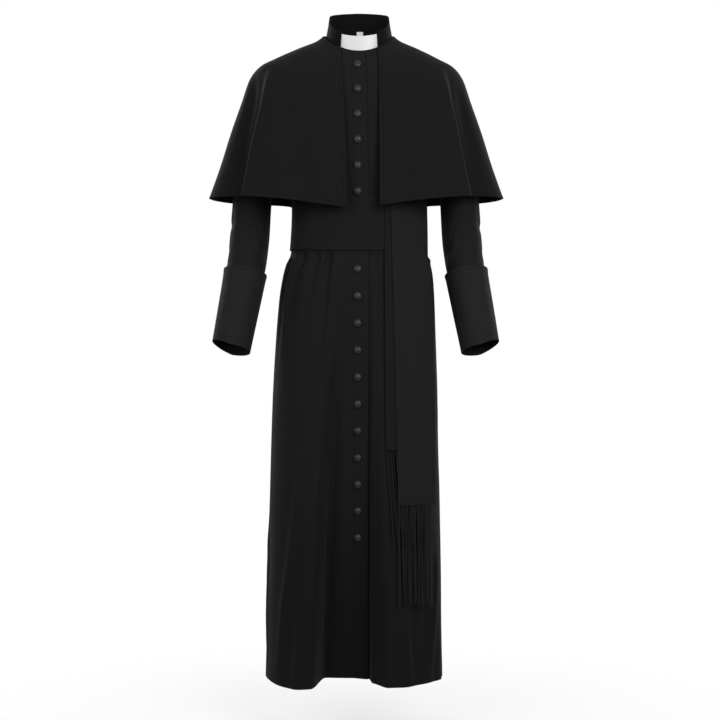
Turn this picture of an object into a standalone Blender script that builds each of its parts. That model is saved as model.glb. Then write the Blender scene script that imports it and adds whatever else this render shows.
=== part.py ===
"""A black clerical cassock with its shoulder cape and sash, in the hollow form it has when worn.

Metres, +Z up. The wearer faces -Y, so the wearer's right is -X. The origin is the middle of the
neck opening, where the garment is carried. Every cloth piece is a wall of one cloth's thickness,
lofted through sections that are worked out from the tables below.
"""

import math

import bmesh
import bpy
from mathutils import Matrix, Vector

# Cloth and seams
CLOTH = 0.002
SEAM_GAP = 0.0005
OVERLAP_STEP = CLOTH + SEAM_GAP
NORMAL_STEP = 1e-3

# Closures
CLOSING_EDGE = [(0.0, 0.0125), (-0.10, 0.0165), (-0.33, 0.0205), (-1.40, 0.0215)]
OVERLAP_SLACK = 0.0015
EDGE_CLEAR = 0.0012
EDGE_TURN = 0.0090

# Rings of the body, from the neckline down: heights at the side, front and back, then half width,
# depth in front and behind, how square the ring is, and how its height bows from side to front
BODY_RINGS = [
    # name        z_side   z_front  z_back   width   front   back    square bow
    ("neck", 0.0315, -0.0125, 0.0485, 0.0735, 0.0745, 0.0715, 2.0, 1.3),
    ("collarbone", 0.0180, -0.0260, 0.0330, 0.0920, 0.0820, 0.0820, 2.0, 1.5),
    ("yoke", 0.0030, -0.0420, 0.0150, 0.1200, 0.0900, 0.0930, 2.0, 1.8),
    ("shoulder", -0.0180, -0.0660, -0.0150, 0.1640, 0.1000, 0.1060, 2.1, 2.0),
    ("tip", -0.0380, -0.0940, -0.0480, 0.2020, 0.1080, 0.1150, 2.2, 2.0),
    ("armhole", -0.1200, -0.1500, -0.1250, 0.1900, 0.1160, 0.1200, 2.3, 2.0),
    ("armpit", -0.2050, -0.2120, -0.2050, 0.1680, 0.1200, 0.1170, 2.3, 2.0),
    ("ribs", -0.2700, -0.2750, -0.2700, 0.1530, 0.1190, 0.1090, 2.3, 2.0),
    ("waist", -0.3500, -0.3560, -0.3500, 0.1435, 0.1150, 0.1030, 2.2, 2.0),
    ("seam", -0.4330, -0.4400, -0.4330, 0.1475, 0.1155, 0.1050, 2.2, 2.0),
    ("hip", -0.4600, -0.4670, -0.4600, 0.1500, 0.1180, 0.1080, 2.2, 2.0),
]
TIP_ROW, ARMPIT_ROW = 4, 6
ARMHOLE_ANGLE = 31.0
BODICE_ROWS_ABOVE = [0, 1, 2, 3]
BODICE_UNDERLAP = [-0.15, -0.08]
BODICE_RIGHT_ACROSS = [0, -0.08, -0.15, -0.32, -0.52, -0.75, -1.0]
BODICE_LEFT_ACROSS = [0, 0.02, 0.06, 0.12, 0.30, 0.52, 0.75, 1.0]
BODICE_BACK_COUNT = 11
ARM_TURNS = 12
SLEEVE_SEAM = 60.0
BAND_TOP_ROW, BAND_BOTTOM_ROW = 7.67, 9.12
BAND_PROUD = CLOTH + 0.0014
BAND_COUNT = 32
BODICE_ROWS_BELOW = [7, BAND_TOP_ROW, 8, 9]
BAND_ROWS = [BAND_TOP_ROW, 8, 9, BAND_BOTTOM_ROW]

# Rings of the shoulder cape, as above, with the sideways place of the ring's middle
CAPE_RINGS = [
    # name        z_side   z_front  z_back   width   front   back    square bow  middle
    ("neck", 0.0350, -0.0095, 0.0530, 0.0765, 0.0790, 0.0760, 2.0, 1.3, 0.0),
    ("collarbone", 0.0235, -0.0240, 0.0380, 0.0910, 0.0865, 0.0870, 2.0, 1.5, 0.0),
    ("yoke", 0.0050, -0.0440, 0.0190, 0.1320, 0.0960, 0.0990, 2.1, 1.8, -0.002),
    ("shoulder", -0.0195, -0.0760, -0.0120, 0.1810, 0.1090, 0.1130, 2.3, 2.0, -0.004),
    ("tip", -0.0370, -0.1060, -0.0450, 0.2140, 0.1175, 0.1225, 2.5, 2.0, -0.005),
    ("drop", -0.0600, -0.1400, -0.0850, 0.2340, 0.1235, 0.1290, 2.6, 2.0, -0.005),
    ("arm", -0.1150, -0.1900, -0.1450, 0.2540, 0.1300, 0.1360, 2.6, 2.0, -0.005),
    ("elbow", -0.1800, -0.2420, -0.2050, 0.2770, 0.1360, 0.1430, 2.6, 2.0, -0.005),
    ("low", -0.2500, -0.2980, -0.2700, 0.2990, 0.1410, 0.1500, 2.6, 2.0, -0.005),
    ("hem", -0.3220, -0.3540, -0.3400, 0.3245, 0.1460, 0.1570, 2.6, 2.0, -0.005),
]
CAPE_ACROSS = [0, 0.14, 0.28, 0.40, 0.50, 0.58, 0.645, 0.70, 0.755, 0.81, 0.87, 0.935, 1.0]
CAPE_BACK_ANGLES = [98, 106, 113, 120, 126.5, 133, 141, 150, 160, 170]
CAPE_SEAM_RADIUS = 0.25
CAPE_EDGE_RIGHT = [(0.0, -0.0455), (-0.10, -0.0330), (-0.34, -0.0235)]
CAPE_EDGE_LEFT = [(0.0, 0.0480), (-0.10, 0.0450), (-0.34, 0.0455)]

# Folds: the angle round from the front where a fold starts and ends, how far it spreads towards the
# front and towards the back, how deep it is pressed in (a ridge is negative), and the rows between
# which it grows
CAPE_FOLDS = [
    # name            start  end    to_front to_back depth   row_start row_end
    ("ridge_right", -64.0, -61.5, 22.0, 9.0, -0.018, 3.6, 9.0),
    ("valley_right", -72.0, -71.0, 9.5, 21.0, 0.046, 3.8, 9.0),
    ("soft_right", -52.0, -41.0, 13.0, 13.0, 0.007, 3.5, 8.0),
    ("ridge_left", 64.0, 61.5, 22.0, 9.0, -0.018, 3.6, 9.0),
    ("valley_left", 72.0, 71.0, 9.5, 21.0, 0.046, 3.8, 9.0),
    ("soft_left", 50.0, 36.0, 14.0, 14.0, 0.008, 3.5, 8.0),
    ("back_right", -128.0, -126.0, 15.0, 15.0, 0.030, 4.2, 9.0),
    ("back_left", 125.0, 127.0, 14.0, 16.0, 0.028, 4.2, 9.0),
    ("back_middle", 176.0, 178.0, 18.0, 18.0, 0.016, 4.5, 9.0),
]

# Rings of the skirt: height, sideways place of the middle, half width, depth in front and behind
SKIRT_RINGS = [
    # name      z        middle   width   front   back
    ("seam", -0.4335, 0.0000, 0.1475, 0.1155, 0.1050),
    ("stitch", -0.4470, 0.0000, 0.1492, 0.1172, 0.1066),
    ("gather", -0.4700, -0.0005, 0.1590, 0.1235, 0.1160),
    ("high_hip", -0.5000, -0.0015, 0.1655, 0.1280, 0.1250),
    ("hip", -0.5460, -0.0035, 0.1705, 0.1325, 0.1350),
    ("seat", -0.6200, -0.0055, 0.1750, 0.1370, 0.1450),
    ("thigh", -0.7300, -0.0070, 0.1800, 0.1420, 0.1540),
    ("knee", -0.8800, -0.0085, 0.1840, 0.1480, 0.1620),
    ("shin", -1.0700, -0.0085, 0.1885, 0.1560, 0.1700),
    ("low", -1.2500, -0.0095, 0.1915, 0.1640, 0.1780),
    ("hem", -1.3680, -0.0100, 0.1940, 0.1700, 0.1830),
]
SKIRT_TOP, SKIRT_HEM = SKIRT_RINGS[0][1], SKIRT_RINGS[-1][1]
SKIRT_SQUARE = 2.2
SKIRT_FRONT_DIP = 0.007
SKIRT_LEVEL_AT = -0.60
# The hem hangs a little lower under the right front's lobe: angle, reach and drop
LOBE_ANGLE, LOBE_REACH, LOBE_DROP = -48.0, 34.0, 0.0070

# The deep fall between the two front lobes: how far it goes in at the hem, and its walls
TROUGH_START = -0.50
TROUGH_DEPTH = 0.118
TROUGH_POWER = 1.15
TROUGH_WALL_START = [(-0.50, 10.5), (-0.66, 13.0), (-0.90, 16.0), (-1.15, 18.8), (-1.368, 20.5)]
TROUGH_WALL_SPAN = [(-0.50, 17.0), (-0.90, 13.0), (-1.368, 9.5)]
TROUGH_AT_EDGE = 0.88
TROUGH_BEYOND_EDGE = 0.50
TROUGH_END_ANGLE = 25.0

# Where the skirt's panels have their lines, as angles, as shares of the trough's wall, and as
# shares of what is left from that wall to the side seam
SKIRT_RIGHT_ANGLES = [8.0, 4.0, 0.0, -4.0]
SKIRT_BEFORE_WALL = 4.0
SKIRT_WALL_SHARES = [0.0, 0.2, 0.4, 0.6, 0.8, 1.0]
SKIRT_SIDE_SHARES = [0.05, 0.11, 0.18, 0.25, 0.33, 0.41, 0.50, 0.59, 0.69, 0.79, 0.89, 1.0]
SKIRT_UNDERLAP = [-4.0, 0.0, 4.0, 8.0]
SKIRT_LEFT_PAST = [EDGE_CLEAR, 0.0034, 0.0060, EDGE_TURN]
SKIRT_LEFT_ANGLES = [14.0, 17.0, 20.5, 24.0, 28.0, 33.0, 38.5, 44.0, 50.0, 57.0, 64.0, 72.0, 80.0]
SKIRT_BACK_ANGLES = [99, 108, 117, 124, 130, 136, 142, 148, 155, 162, 168, 174]
SKIRT_SEAM_RADIUS = 0.17

SKIRT_FOLDS = [
    # name            start  end    to_front to_back depth   z_start  z_full   z_fade  z_end
    ("tuck_one", -29.0, -40.0, 6.0, 7.0, 0.0080, -0.4340, -0.4600, -0.55, -0.74),
    ("tuck_two", -42.0, -52.0, 5.0, 6.0, 0.0055, -0.4340, -0.4550, -0.50, -0.62),
    ("tuck_three", -57.0, -64.0, 5.0, 7.0, 0.0050, -0.4340, -0.4600, -0.54, -0.70),
    ("tuck_four", -73.0, -78.0, 6.0, 6.0, 0.0050, -0.4340, -0.4600, -0.55, -0.72),
    ("tuck_left", 74.0, 77.0, 6.0, 7.0, 0.0050, -0.4340, -0.4600, -0.55, -0.70),
    ("crest_right", -30.0, -53.0, 12.0, 12.0, -0.0090, -0.7000, -1.0000, -1.36, -2.40),
    ("crest_left", 34.0, 42.0, 11.0, 11.0, -0.0070, -1.0000, -1.3000, -1.36, -2.40),
    ("side_left", 72.0, 64.0, 9.0, 9.0, -0.0050, -1.0000, -1.3000, -1.36, -2.40),
    ("back_middle", 180.0, 180.0, 16.0, 16.0, 0.0550, -0.4400, -1.3680, -1.36, -2.40),
    ("back_right", -139.0, -136.0, 15.0, 17.0, 0.0400, -0.4400, -1.3680, -1.36, -2.40),
    ("back_left", 140.0, 137.0, 15.0, 17.0, 0.0380, -0.4400, -1.3680, -1.36, -2.40),
    ("side_right", -104.0, -102.0, 14.0, 14.0, 0.0200, -0.6000, -1.3680, -1.36, -2.40),
    ("hip_left", 103.0, 101.0, 14.0, 14.0, 0.0200, -0.6000, -1.3680, -1.36, -2.40),
]

# The arm's path, for either side of its middle, with the sleeve's half width and half depth there
ARM_MIDDLE = -0.006
ARM_RINGS = [
    # name      z        out     y       width   depth
    ("bicep", -0.2180, 0.2195, 0.0040, 0.0430, 0.0550),
    ("upper", -0.3370, 0.2290, 0.0100, 0.0430, 0.0560),
    ("elbow", -0.4140, 0.2345, 0.0120, 0.0435, 0.0560),
    ("forearm", -0.4630, 0.2395, 0.0070, 0.0425, 0.0550),
    ("cuff_top", -0.4950, 0.2445, 0.0000, 0.0415, 0.0540),
    ("wrist", -0.6550, 0.2720, -0.0370, 0.0385, 0.0500),
]
SLEEVE_CORNER = {
    "in": 0.1700, "out": 0.2380, "z_top": -0.0450, "z_under": -0.2130, "y": 0.0020, "depth": 0.0580,
}
ARMHOLE_CLEAR = 0.012
CUFF_TOP_ROW, CUFF_END_ROW = 3.82, 5.0
CUFF_CLEAR_TOP, CUFF_CLEAR_END = 0.0042, 0.0026
CUFF_SLANT = 0.065
SLEEVE_END_ROW = 4.90
SLEEVE_ROWS = [-1, -0.72, -0.45, -0.2, 0, 1, 2, 3, 4, SLEEVE_END_ROW]
CUFF_ROWS = [CUFF_TOP_ROW, 4, 4.5, CUFF_END_ROW]
ARMHOLE_GAP_RADIUS = 0.19
ARM_STEP = 0.05

# The stand collar and what shows in its gap
COLLAR_RINGS = [
    # name  z_side   z_front  z_back   width   front   back    square bow  middle
    ("base", 0.0328, -0.0110, 0.0498, 0.0725, 0.0735, 0.0705, 2.0, 1.3, 0.0015),
    ("top", 0.0660, 0.0235, 0.0980, 0.0662, 0.0690, 0.0670, 2.5, 1.3, 0.0015),
]
COLLAR_BACK_BOW = 0.60
COLLAR_CORNER, COLLAR_CORNER_DROP = 5.0, 0.0045
COLLAR_ENDS = [0, 0.004, 0.010, 0.017]
COLLAR_MIDDLE = (0.06, 0.94, 15)
COLLAR_ROUNDEST = 0.999
INSERT_COUNT = 21
COLLAR_GAP_BASE, COLLAR_GAP_TOP = 34.0, 32.4
INSERT_THICK = 0.0010
INSERT_INSIDE = CLOTH + 0.0008
INSERT_REACH = 52.0
INSERT_BASE, INSERT_TOP, INSERT_DIP = 0.03, 0.82, -0.14
LABEL_SIZE = (0.014, 0.026)
LABEL_THICK = 0.0008
LABEL_BULGE = 0.0004
LABEL_MIDDLE = (0.0030, 0.0665, 0.0440)

# The sash: two falls that hang over the band, and their fringes
FALLS = {
    # edges are sideways places by height; proud is how far the fall stands off what it lies on
    "sash_fall_front": {
        "left": [(-0.33, 0.0660), (-0.44, 0.0690), (-0.61, 0.0735), (-0.77, 0.0772), (-0.99, 0.0814)],
        "right": [(-0.33, 0.1475), (-0.44, 0.1480), (-0.61, 0.1535), (-0.77, 0.1575), (-0.99, 0.1585)],
        "top": -0.3300,
        "end": -0.9860,
        "proud": 2 * CLOTH + 0.0024,
    },
    "sash_fall_back": {
        "left": [(-0.33, 0.0560), (-0.44, 0.0545), (-0.61, 0.0550), (-0.77, 0.0560), (-0.87, 0.0568)],
        "right": [(-0.33, 0.1370), (-0.44, 0.1370), (-0.61, 0.1400), (-0.77, 0.1440), (-0.87, 0.1450)],
        "top": -0.3340,
        "end": -0.8680,
        "proud": CLOTH + 0.0015,
    },
}
FRINGES = {
    "fringe_front": {
        "fall": "sash_fall_front", "end": -1.2010, "drift": 0.0020, "narrow": 0.0040, "lift": 0.0040,
    },
    "fringe_back": {
        "fall": "sash_fall_back", "end": -1.0720, "drift": 0.0110, "narrow": 0.0100, "lift": 0.0,
    },
}
FALL_HUG_TOP, FALL_HUG = 0.60, 0.40
FALL_HUG_FROM, FALL_HUG_TO = -0.34, -0.42
FALL_COUNT = 7
FALL_HEIGHTS = [-0.36, -0.385, -0.41, -0.435, -0.47, -0.52, -0.60, -0.70, -0.80, -0.90]
FALL_LAST_STEP = 0.02
FALL_SLOPE_STEP = 0.001
FALL_SIDE_LIMIT = 0.96
FRINGE_SPREAD_LENGTH = 0.2

# Covered buttons
BUTTON_RADIUS, BUTTON_HEIGHT = 0.0088, 0.0062
BUTTON_X = -0.0015
BUTTON_PROUD = 0.0008
BUTTON_NORMAL_STEPS = (0.1, 0.002)
BUTTON_SEARCH_STEPS = (0.01, 0.001)
BUTTON_SEARCH_TRIES = 60
BUTTON_SEARCH_SHARE = 0.7
BUTTON_ROWS = [
    # first    step    count
    (-0.0440, 0.0549, 6),
    (-0.4847, 0.05750, 11),
]
BUTTON_SEGMENTS = 12
BUTTON_PROFILE = [(0.0, 1.0), (0.45, 0.93), (0.80, 0.68), (0.98, 0.34), (1.0, 0.16), (0.86, 0.0), (0.0, 0.0)]

# Materials: colour, roughness
CLOTH_BLACK = ("black_twill", (0.012, 0.012, 0.012, 1.0), 0.85)
BUTTON_CLOTH = ("button_satin", (0.030, 0.030, 0.030, 1.0), 0.55)
INSERT_WHITE = ("white_insert", (0.80, 0.80, 0.80, 1.0), 0.45)
LABEL_WHITE = ("label_white", (0.85, 0.85, 0.85, 1.0), 0.80)


class Profile:
    """A smooth line through a few sizes, which never swings past them."""

    def __init__(self, places, sizes):
        pairs = sorted(zip(places, sizes))
        self.places = [p for p, _ in pairs]
        self.sizes = [s for _, s in pairs]
        steps = [
            (s1 - s0) / (p1 - p0)
            for (p0, s0), (p1, s1) in zip(pairs[:-1], pairs[1:])
        ]
        self.slopes = [steps[0]]
        for before, after in zip(steps[:-1], steps[1:]):
            turning = before * after <= 0
            self.slopes.append(0.0 if turning else 2 * before * after / (before + after))
        self.slopes.append(steps[-1])

    def __call__(self, place):
        place = min(max(place, self.places[0]), self.places[-1])
        i = max(k for k, p in enumerate(self.places[:-1]) if p <= place)
        span = self.places[i + 1] - self.places[i]
        t = (place - self.places[i]) / span
        return (
            (1 + 2 * t) * (1 - t) ** 2 * self.sizes[i]
            + t * (1 - t) ** 2 * span * self.slopes[i]
            + t * t * (3 - 2 * t) * self.sizes[i + 1]
            + t * t * (t - 1) * span * self.slopes[i + 1]
        )


def eased(value, start, end):
    """0 before start, 1 after end, and smooth between them."""
    t = min(max((value - start) / (end - start), 0.0), 1.0)
    return t * t * (3 - 2 * t)


def mix(a, b, share):
    return a + (b - a) * share


def by_height(pairs):
    return Profile([z for z, _ in pairs], [x for _, x in pairs])


def columns_of(rings, first_column=1):
    """One profile for each size column of a table of rings, along the row number."""
    rows = range(len(rings))
    width = len(rings[0])
    return [Profile(rows, [ring[c] for ring in rings]) for c in range(first_column, width)]


def round_radius(angle, half_width, front, back, square):
    """Distance from the middle to a squared oval's edge, at an angle in degrees from the front."""
    s = abs(math.sin(math.radians(angle)))
    c = math.cos(math.radians(angle))
    depth = front if c > 0 else back
    return ((s / half_width) ** square + (abs(c) / depth) ** square) ** (-1 / square)


def bowed_height(angle, side, front, back, bow):
    c = math.cos(math.radians(angle))
    return side + ((front if c > 0 else back) - side) * abs(c) ** bow


def polar(middle, angle, radius, height):
    a = math.radians(angle)
    return Vector((middle + radius * math.sin(a), -radius * math.cos(a), height))


def fold_share(angle, centre, to_front, to_back):
    """How much of a fold's depth is felt at an angle: a soft bell, wider on one side."""
    away = (angle - centre + 180) % 360 - 180
    towards_front = away * centre < 0
    reach = to_front if towards_front else to_back
    return math.cos(math.pi / 2 * away / reach) ** 2 if abs(away) < reach else 0.0


# The forms that the pieces are cut from

BODY = columns_of(BODY_RINGS)
CAPE = columns_of(CAPE_RINGS)
COLLAR = columns_of(COLLAR_RINGS)
ARM = columns_of(ARM_RINGS)
SKIRT = [Profile([ring[1] for ring in SKIRT_RINGS], [ring[c] for ring in SKIRT_RINGS]) for c in range(2, 6)]
closing_edge = by_height(CLOSING_EDGE)
trough_wall_start = by_height(TROUGH_WALL_START)
trough_wall_span = by_height(TROUGH_WALL_SPAN)


def body_form(angle, row):
    z_side, z_front, z_back, width, front, back, square, bow = (size(row) for size in BODY)
    radius = round_radius(angle, width, front, back, square)
    return polar(0.0, angle, radius, bowed_height(angle, z_side, z_front, z_back, bow))


def cape_form(angle, row):
    z_side, z_front, z_back, width, front, back, square, bow, middle = (size(row) for size in CAPE)
    radius = round_radius(angle, width, front, back, square)
    for _, start, end, to_front, to_back, depth, row_start, row_end in CAPE_FOLDS:
        grown = min(max((row - row_start) / (row_end - row_start), 0.0), 1.0)
        centre = mix(start, end, grown)
        radius -= depth * grown * fold_share(angle, centre, to_front, to_back)
    return polar(middle, angle, radius, bowed_height(angle, z_side, z_front, z_back, bow))


def collar_form(angle, row):
    z_side, z_front, z_back, width, front, back, square, bow, middle = (size(row) for size in COLLAR)
    radius = round_radius(angle, width, front, back, square)
    if math.cos(math.radians(angle)) < 0:
        bow = mix(bow, COLLAR_BACK_BOW, row)
    return polar(middle, angle, radius, bowed_height(angle, z_side, z_front, z_back, bow))


def trough_depth(z):
    grown = min(max((TROUGH_START - z) / (TROUGH_START - SKIRT_HEM), 0.0), 1.0)
    return TROUGH_DEPTH * grown**TROUGH_POWER


def skirt_form(angle, z, trough_share):
    """The skirt's outer face. trough_share is how much of the front trough is felt there."""
    middle, width, front, back = (size(z) for size in SKIRT)
    radius = round_radius(angle, width, front, back, SKIRT_SQUARE)
    for _, start, end, to_front, to_back, depth, z_start, z_full, z_fade, z_end in SKIRT_FOLDS:
        centre = mix(start, end, eased(z, z_start, min(z_end, SKIRT_HEM)))
        grown = eased(z, z_start, z_full) * (1 - eased(z, z_fade, z_end))
        radius -= depth * grown * fold_share(angle, centre, to_front, to_back)
    dip = SKIRT_FRONT_DIP * eased(z, SKIRT_LEVEL_AT, SKIRT_TOP)
    drop = LOBE_DROP * ((SKIRT_TOP - z) / (SKIRT_TOP - SKIRT_HEM)) ** 2
    height = z - dip * max(math.cos(math.radians(angle)), 0.0) ** 2
    height -= drop * fold_share(angle, LOBE_ANGLE, LOBE_REACH, LOBE_REACH)
    point = polar(middle, angle, radius, height)
    point.y += trough_depth(z) * trough_share
    return point


def edge_angle(z):
    """The angle of the closing edge on the skirt at a height."""
    middle, _, front, _ = (size(z) for size in SKIRT)
    return math.degrees(math.atan2(closing_edge(z) - middle, front))


def right_trough(angle, z):
    """On the wearer's right: full depth, easing a little towards the closing edge."""
    start = trough_wall_start(z)
    wall_share = 1 - eased(-angle, start, start + trough_wall_span(z))
    return wall_share * mix(1.0, TROUGH_AT_EDGE, eased(angle, -2.0, edge_angle(z)))


def left_trough(angle, z):
    """On the wearer's left: as the right one where it lies under it, then a step forward at the
    closing edge to a pressed crease, and what is left of the trough fading out."""
    radius = SKIRT[2](z)
    past = math.radians(angle - edge_angle(z)) * radius
    stepped = eased(past, EDGE_CLEAR, EDGE_TURN)
    beyond = TROUGH_BEYOND_EDGE * (1 - eased(angle, edge_angle(z) + 2.0, TROUGH_END_ANGLE))
    return mix(right_trough(min(angle, edge_angle(z)), z), beyond, stepped)


def right_skirt(angle, z):
    return skirt_form(angle, z, right_trough(angle, z))


def left_skirt(angle, z):
    point = skirt_form(angle, z, left_trough(angle, z))
    past = math.radians(angle - edge_angle(z)) * SKIRT[2](z)
    slack = OVERLAP_SLACK * trough_depth(z) / TROUGH_DEPTH
    point.y += (OVERLAP_STEP + slack) * (1 - eased(past, EDGE_CLEAR, EDGE_TURN))
    return point


def back_skirt(angle, z):
    return skirt_form(angle, z, 0.0)


# Making a wall from a form

def face_normal(form, u, v, step_u, step_v):
    """The form's normal at (u, v), by small steps both ways."""
    along_u = form(u + step_u, v) - form(u - step_u, v)
    along_v = form(u, v + step_v) - form(u, v - step_v)
    return along_u.cross(along_v).normalized()


def material_of(kind):
    name, colour, roughness = kind
    material = bpy.data.materials.get(name)
    if material is None:
        material = bpy.data.materials.new(name)
        material.use_nodes = True
        shader = material.node_tree.nodes["Principled BSDF"]
        shader.inputs["Base Color"].default_value = colour
        shader.inputs["Roughness"].default_value = roughness
        shader.inputs["Metallic"].default_value = 0.0
    return material


def add_object(name, bm, kind):
    bmesh.ops.recalc_face_normals(bm, faces=bm.faces)
    if bm.calc_volume(signed=True) < 0:
        bmesh.ops.reverse_faces(bm, faces=bm.faces)
    mesh = bpy.data.meshes.new(name)
    bm.to_mesh(mesh)
    bm.free()
    mesh.shade_smooth()
    mesh.materials.append(material_of(kind))
    obj = bpy.data.objects.new(name, mesh)
    bpy.context.scene.collection.objects.link(obj)
    return obj


def facing_out(points, normals):
    """1 if a piece bulges the way that its normals face, and -1 if it bulges the other way."""
    total = 0.0
    for row, row_normals in zip(points, normals):
        middle = sum(row, Vector()) / len(row)
        total += sum(n.dot(p - middle) for p, n in zip(row, row_normals))
    return math.copysign(1.0, total)


def wall(name, form, us, vs, kind=CLOTH_BLACK, thick=CLOTH, lift=0.0, closed=False):
    """One piece of cloth: form(u, v) is its outer face, moved out by lift, and the inner face lies a
    thickness in. us run round the garment and vs run down it; a closed piece joins up round."""
    step_u, step_v = (NORMAL_STEP * (max(places) - min(places)) for places in (us, vs))
    points = [[form(u, v) for u in us] for v in vs]
    normals = [[face_normal(form, u, v, step_u, step_v) for u in us] for v in vs]
    out = facing_out(points, normals)
    bm = bmesh.new()
    outer, inner = [], []
    for row, row_normals in zip(points, normals):
        outer.append([bm.verts.new(p + n * out * lift) for p, n in zip(row, row_normals)])
        inner.append([bm.verts.new(p + n * out * (lift - thick)) for p, n in zip(row, row_normals)])
    last = len(us) if closed else len(us) - 1
    for i in range(len(vs) - 1):
        for j in range(last):
            k = (j + 1) % len(us)
            bm.faces.new((outer[i][j], outer[i][k], outer[i + 1][k], outer[i + 1][j]))
            bm.faces.new((inner[i][j], inner[i + 1][j], inner[i + 1][k], inner[i][k]))
    for i in (0, len(vs) - 1):
        for j in range(last):
            k = (j + 1) % len(us)
            bm.faces.new((outer[i][j], inner[i][j], inner[i][k], outer[i][k]))
    if not closed:
        for j in (0, len(us) - 1):
            for i in range(len(vs) - 1):
                bm.faces.new((outer[i][j], outer[i + 1][j], inner[i + 1][j], inner[i][j]))
    return add_object(name, bm, kind)


def spread(start, end, count):
    return [mix(start, end, i / (count - 1)) for i in range(count)]


def between(places, index):
    """The place at an index that may fall between two of the list, or just past an end."""
    i = min(max(int(index), 0), len(places) - 2)
    return mix(places[i], places[i + 1], index - i)


# Bodice

def armhole_half(row):
    """Half the armhole's opening, in degrees, at a row between the shoulder tip and the armpit."""
    share = (row - TIP_ROW) / (ARMPIT_ROW - TIP_ROW)
    if not 0 < share < 1:
        return 0.0
    return ARMHOLE_ANGLE * math.sin(math.pi * share) ** 0.55


def armhole_row(turn):
    """The body row beside the arm's turn, 0 on its outer side and 180 on its inner side."""
    return mix(TIP_ROW, ARMPIT_ROW, (1 - math.cos(math.radians(turn))) / 2)


def gap_angle(radius):
    return math.degrees(SEAM_GAP / radius)


def body_edge_angle(row):
    """The angle of the closing edge on the bodice at a row."""
    return math.degrees(math.atan2(closing_edge(BODY[1](row)), BODY[4](row)))


def side_angle(row):
    """Where a front panel ends: half a seam gap before the side seam, or at the armhole's edge."""
    return 90 - armhole_half(row) - gap_angle(BODY[3](row)) / 2


def bodice_right(u, row):
    """u is 0 at the closing edge and -1 at the wearer's right side."""
    return body_form(mix(body_edge_angle(row), -side_angle(row), -u), row)


def bodice_left(u, row):
    """u is 0 under the closing edge, below it further under, and 1 at the wearer's left side."""
    edge = body_edge_angle(row)
    angle = mix(edge, side_angle(row), u) if u > 0 else mix(edge, -side_angle(row), -u)
    point = body_form(angle, row)
    past = math.radians(angle - edge) * BODY[4](row)
    point.y += OVERLAP_STEP * (1 - eased(past, EDGE_CLEAR, EDGE_TURN))
    return point


def bodice_back_form(u, row):
    side = side_angle(row)
    return body_form(mix(180 - side, 180 + side, u), row)


def make_bodice():
    turns = spread(0, 180, ARM_TURNS // 2 + 1)
    rows = BODICE_ROWS_ABOVE + [armhole_row(turn) for turn in turns] + BODICE_ROWS_BELOW
    wall("bodice_front_right", bodice_right, BODICE_RIGHT_ACROSS, rows)
    wall("bodice_front_left", bodice_left, BODICE_UNDERLAP + BODICE_LEFT_ACROSS, rows)
    wall("bodice_back", bodice_back_form, spread(0, 1, BODICE_BACK_COUNT), rows)


# Sleeves and cuffs

def arm_middle(side, row):
    out, y, z = (ARM[c](row) for c in (1, 2, 0))
    return Vector((ARM_MIDDLE + side * out, y, z))


def arm_form(side, turn, row, clear=0.0):
    """The sleeve's face below the armpit, round the arm's path and square to it."""
    middle = arm_middle(side, row)
    low, high = max(row - ARM_STEP, 0.0), min(row + ARM_STEP, len(ARM_RINGS) - 1.0)
    down = (arm_middle(side, high) - arm_middle(side, low)).normalized()
    across = Vector((side, 0, 0))
    across = (across - down * across.dot(down)).normalized()
    forward = Vector((0, -1, 0))
    forward = (forward - down * forward.dot(down)).normalized()
    a = math.radians(turn)
    return (
        middle
        + across * (ARM[3](row) + clear) * math.cos(a)
        + forward * (ARM[4](row) + clear) * math.sin(a)
    )


def armhole_point(side, turn):
    """The armhole's edge on the body, less a seam gap all round."""
    around = math.sin(math.radians(turn))
    row = mix(armhole_row(turn), (TIP_ROW + ARMPIT_ROW) / 2, ARMHOLE_CLEAR)
    half = armhole_half(armhole_row(turn)) * (1 - ARMHOLE_CLEAR) - gap_angle(ARMHOLE_GAP_RADIUS) * abs(around)
    return body_form(side * (90 - math.copysign(max(half, 0.0), around)), row)


def sleeve_form(side, turn, row):
    """Rows from -1, the armhole, to 0, the bicep, are a soft cap; below that the sleeve follows the
    arm."""
    if row >= 0:
        return arm_form(side, turn, row)
    c, s = math.cos(math.radians(turn)), math.sin(math.radians(turn))
    corner = Vector((
        side * mix(SLEEVE_CORNER["in"], SLEEVE_CORNER["out"], (1 + c) / 2),
        SLEEVE_CORNER["y"] - SLEEVE_CORNER["depth"] * s,
        mix(SLEEVE_CORNER["z_under"], SLEEVE_CORNER["z_top"], (1 + c) / 2),
    ))
    t = row + 1
    return (
        armhole_point(side, turn) * (1 - t) ** 2
        + corner * 2 * t * (1 - t)
        + arm_form(side, turn, 0.0) * t * t
    )


def make_sleeves():
    turns = [360 * i / ARM_TURNS for i in range(ARM_TURNS)]
    half_gap = gap_angle(ARM_RINGS[0][4]) / 2
    half_turns = spread(0, 180, ARM_TURNS // 2 + 1)
    half_turns[0] += half_gap
    half_turns[-1] -= half_gap
    for name, side in (("right", -1), ("left", 1)):
        def sleeve(turn, row):
            return sleeve_form(side, turn, row)

        def cuff(turn, row):
            share = (row - CUFF_TOP_ROW) / (CUFF_END_ROW - CUFF_TOP_ROW)
            clear = mix(CUFF_CLEAR_TOP, CUFF_CLEAR_END, share) + CLOTH
            slant = CUFF_SLANT * share * max(math.cos(math.radians(turn)), 0.0)
            return arm_form(side, turn, row - slant, clear)

        for half, seam in (("top", SLEEVE_SEAM - 180), ("under", SLEEVE_SEAM)):
            wall(f"sleeve_{name}_{half}", sleeve, [seam + turn for turn in half_turns], SLEEVE_ROWS)
        wall("cuff_" + name, cuff, turns, CUFF_ROWS, closed=True)


# Skirt

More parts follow.
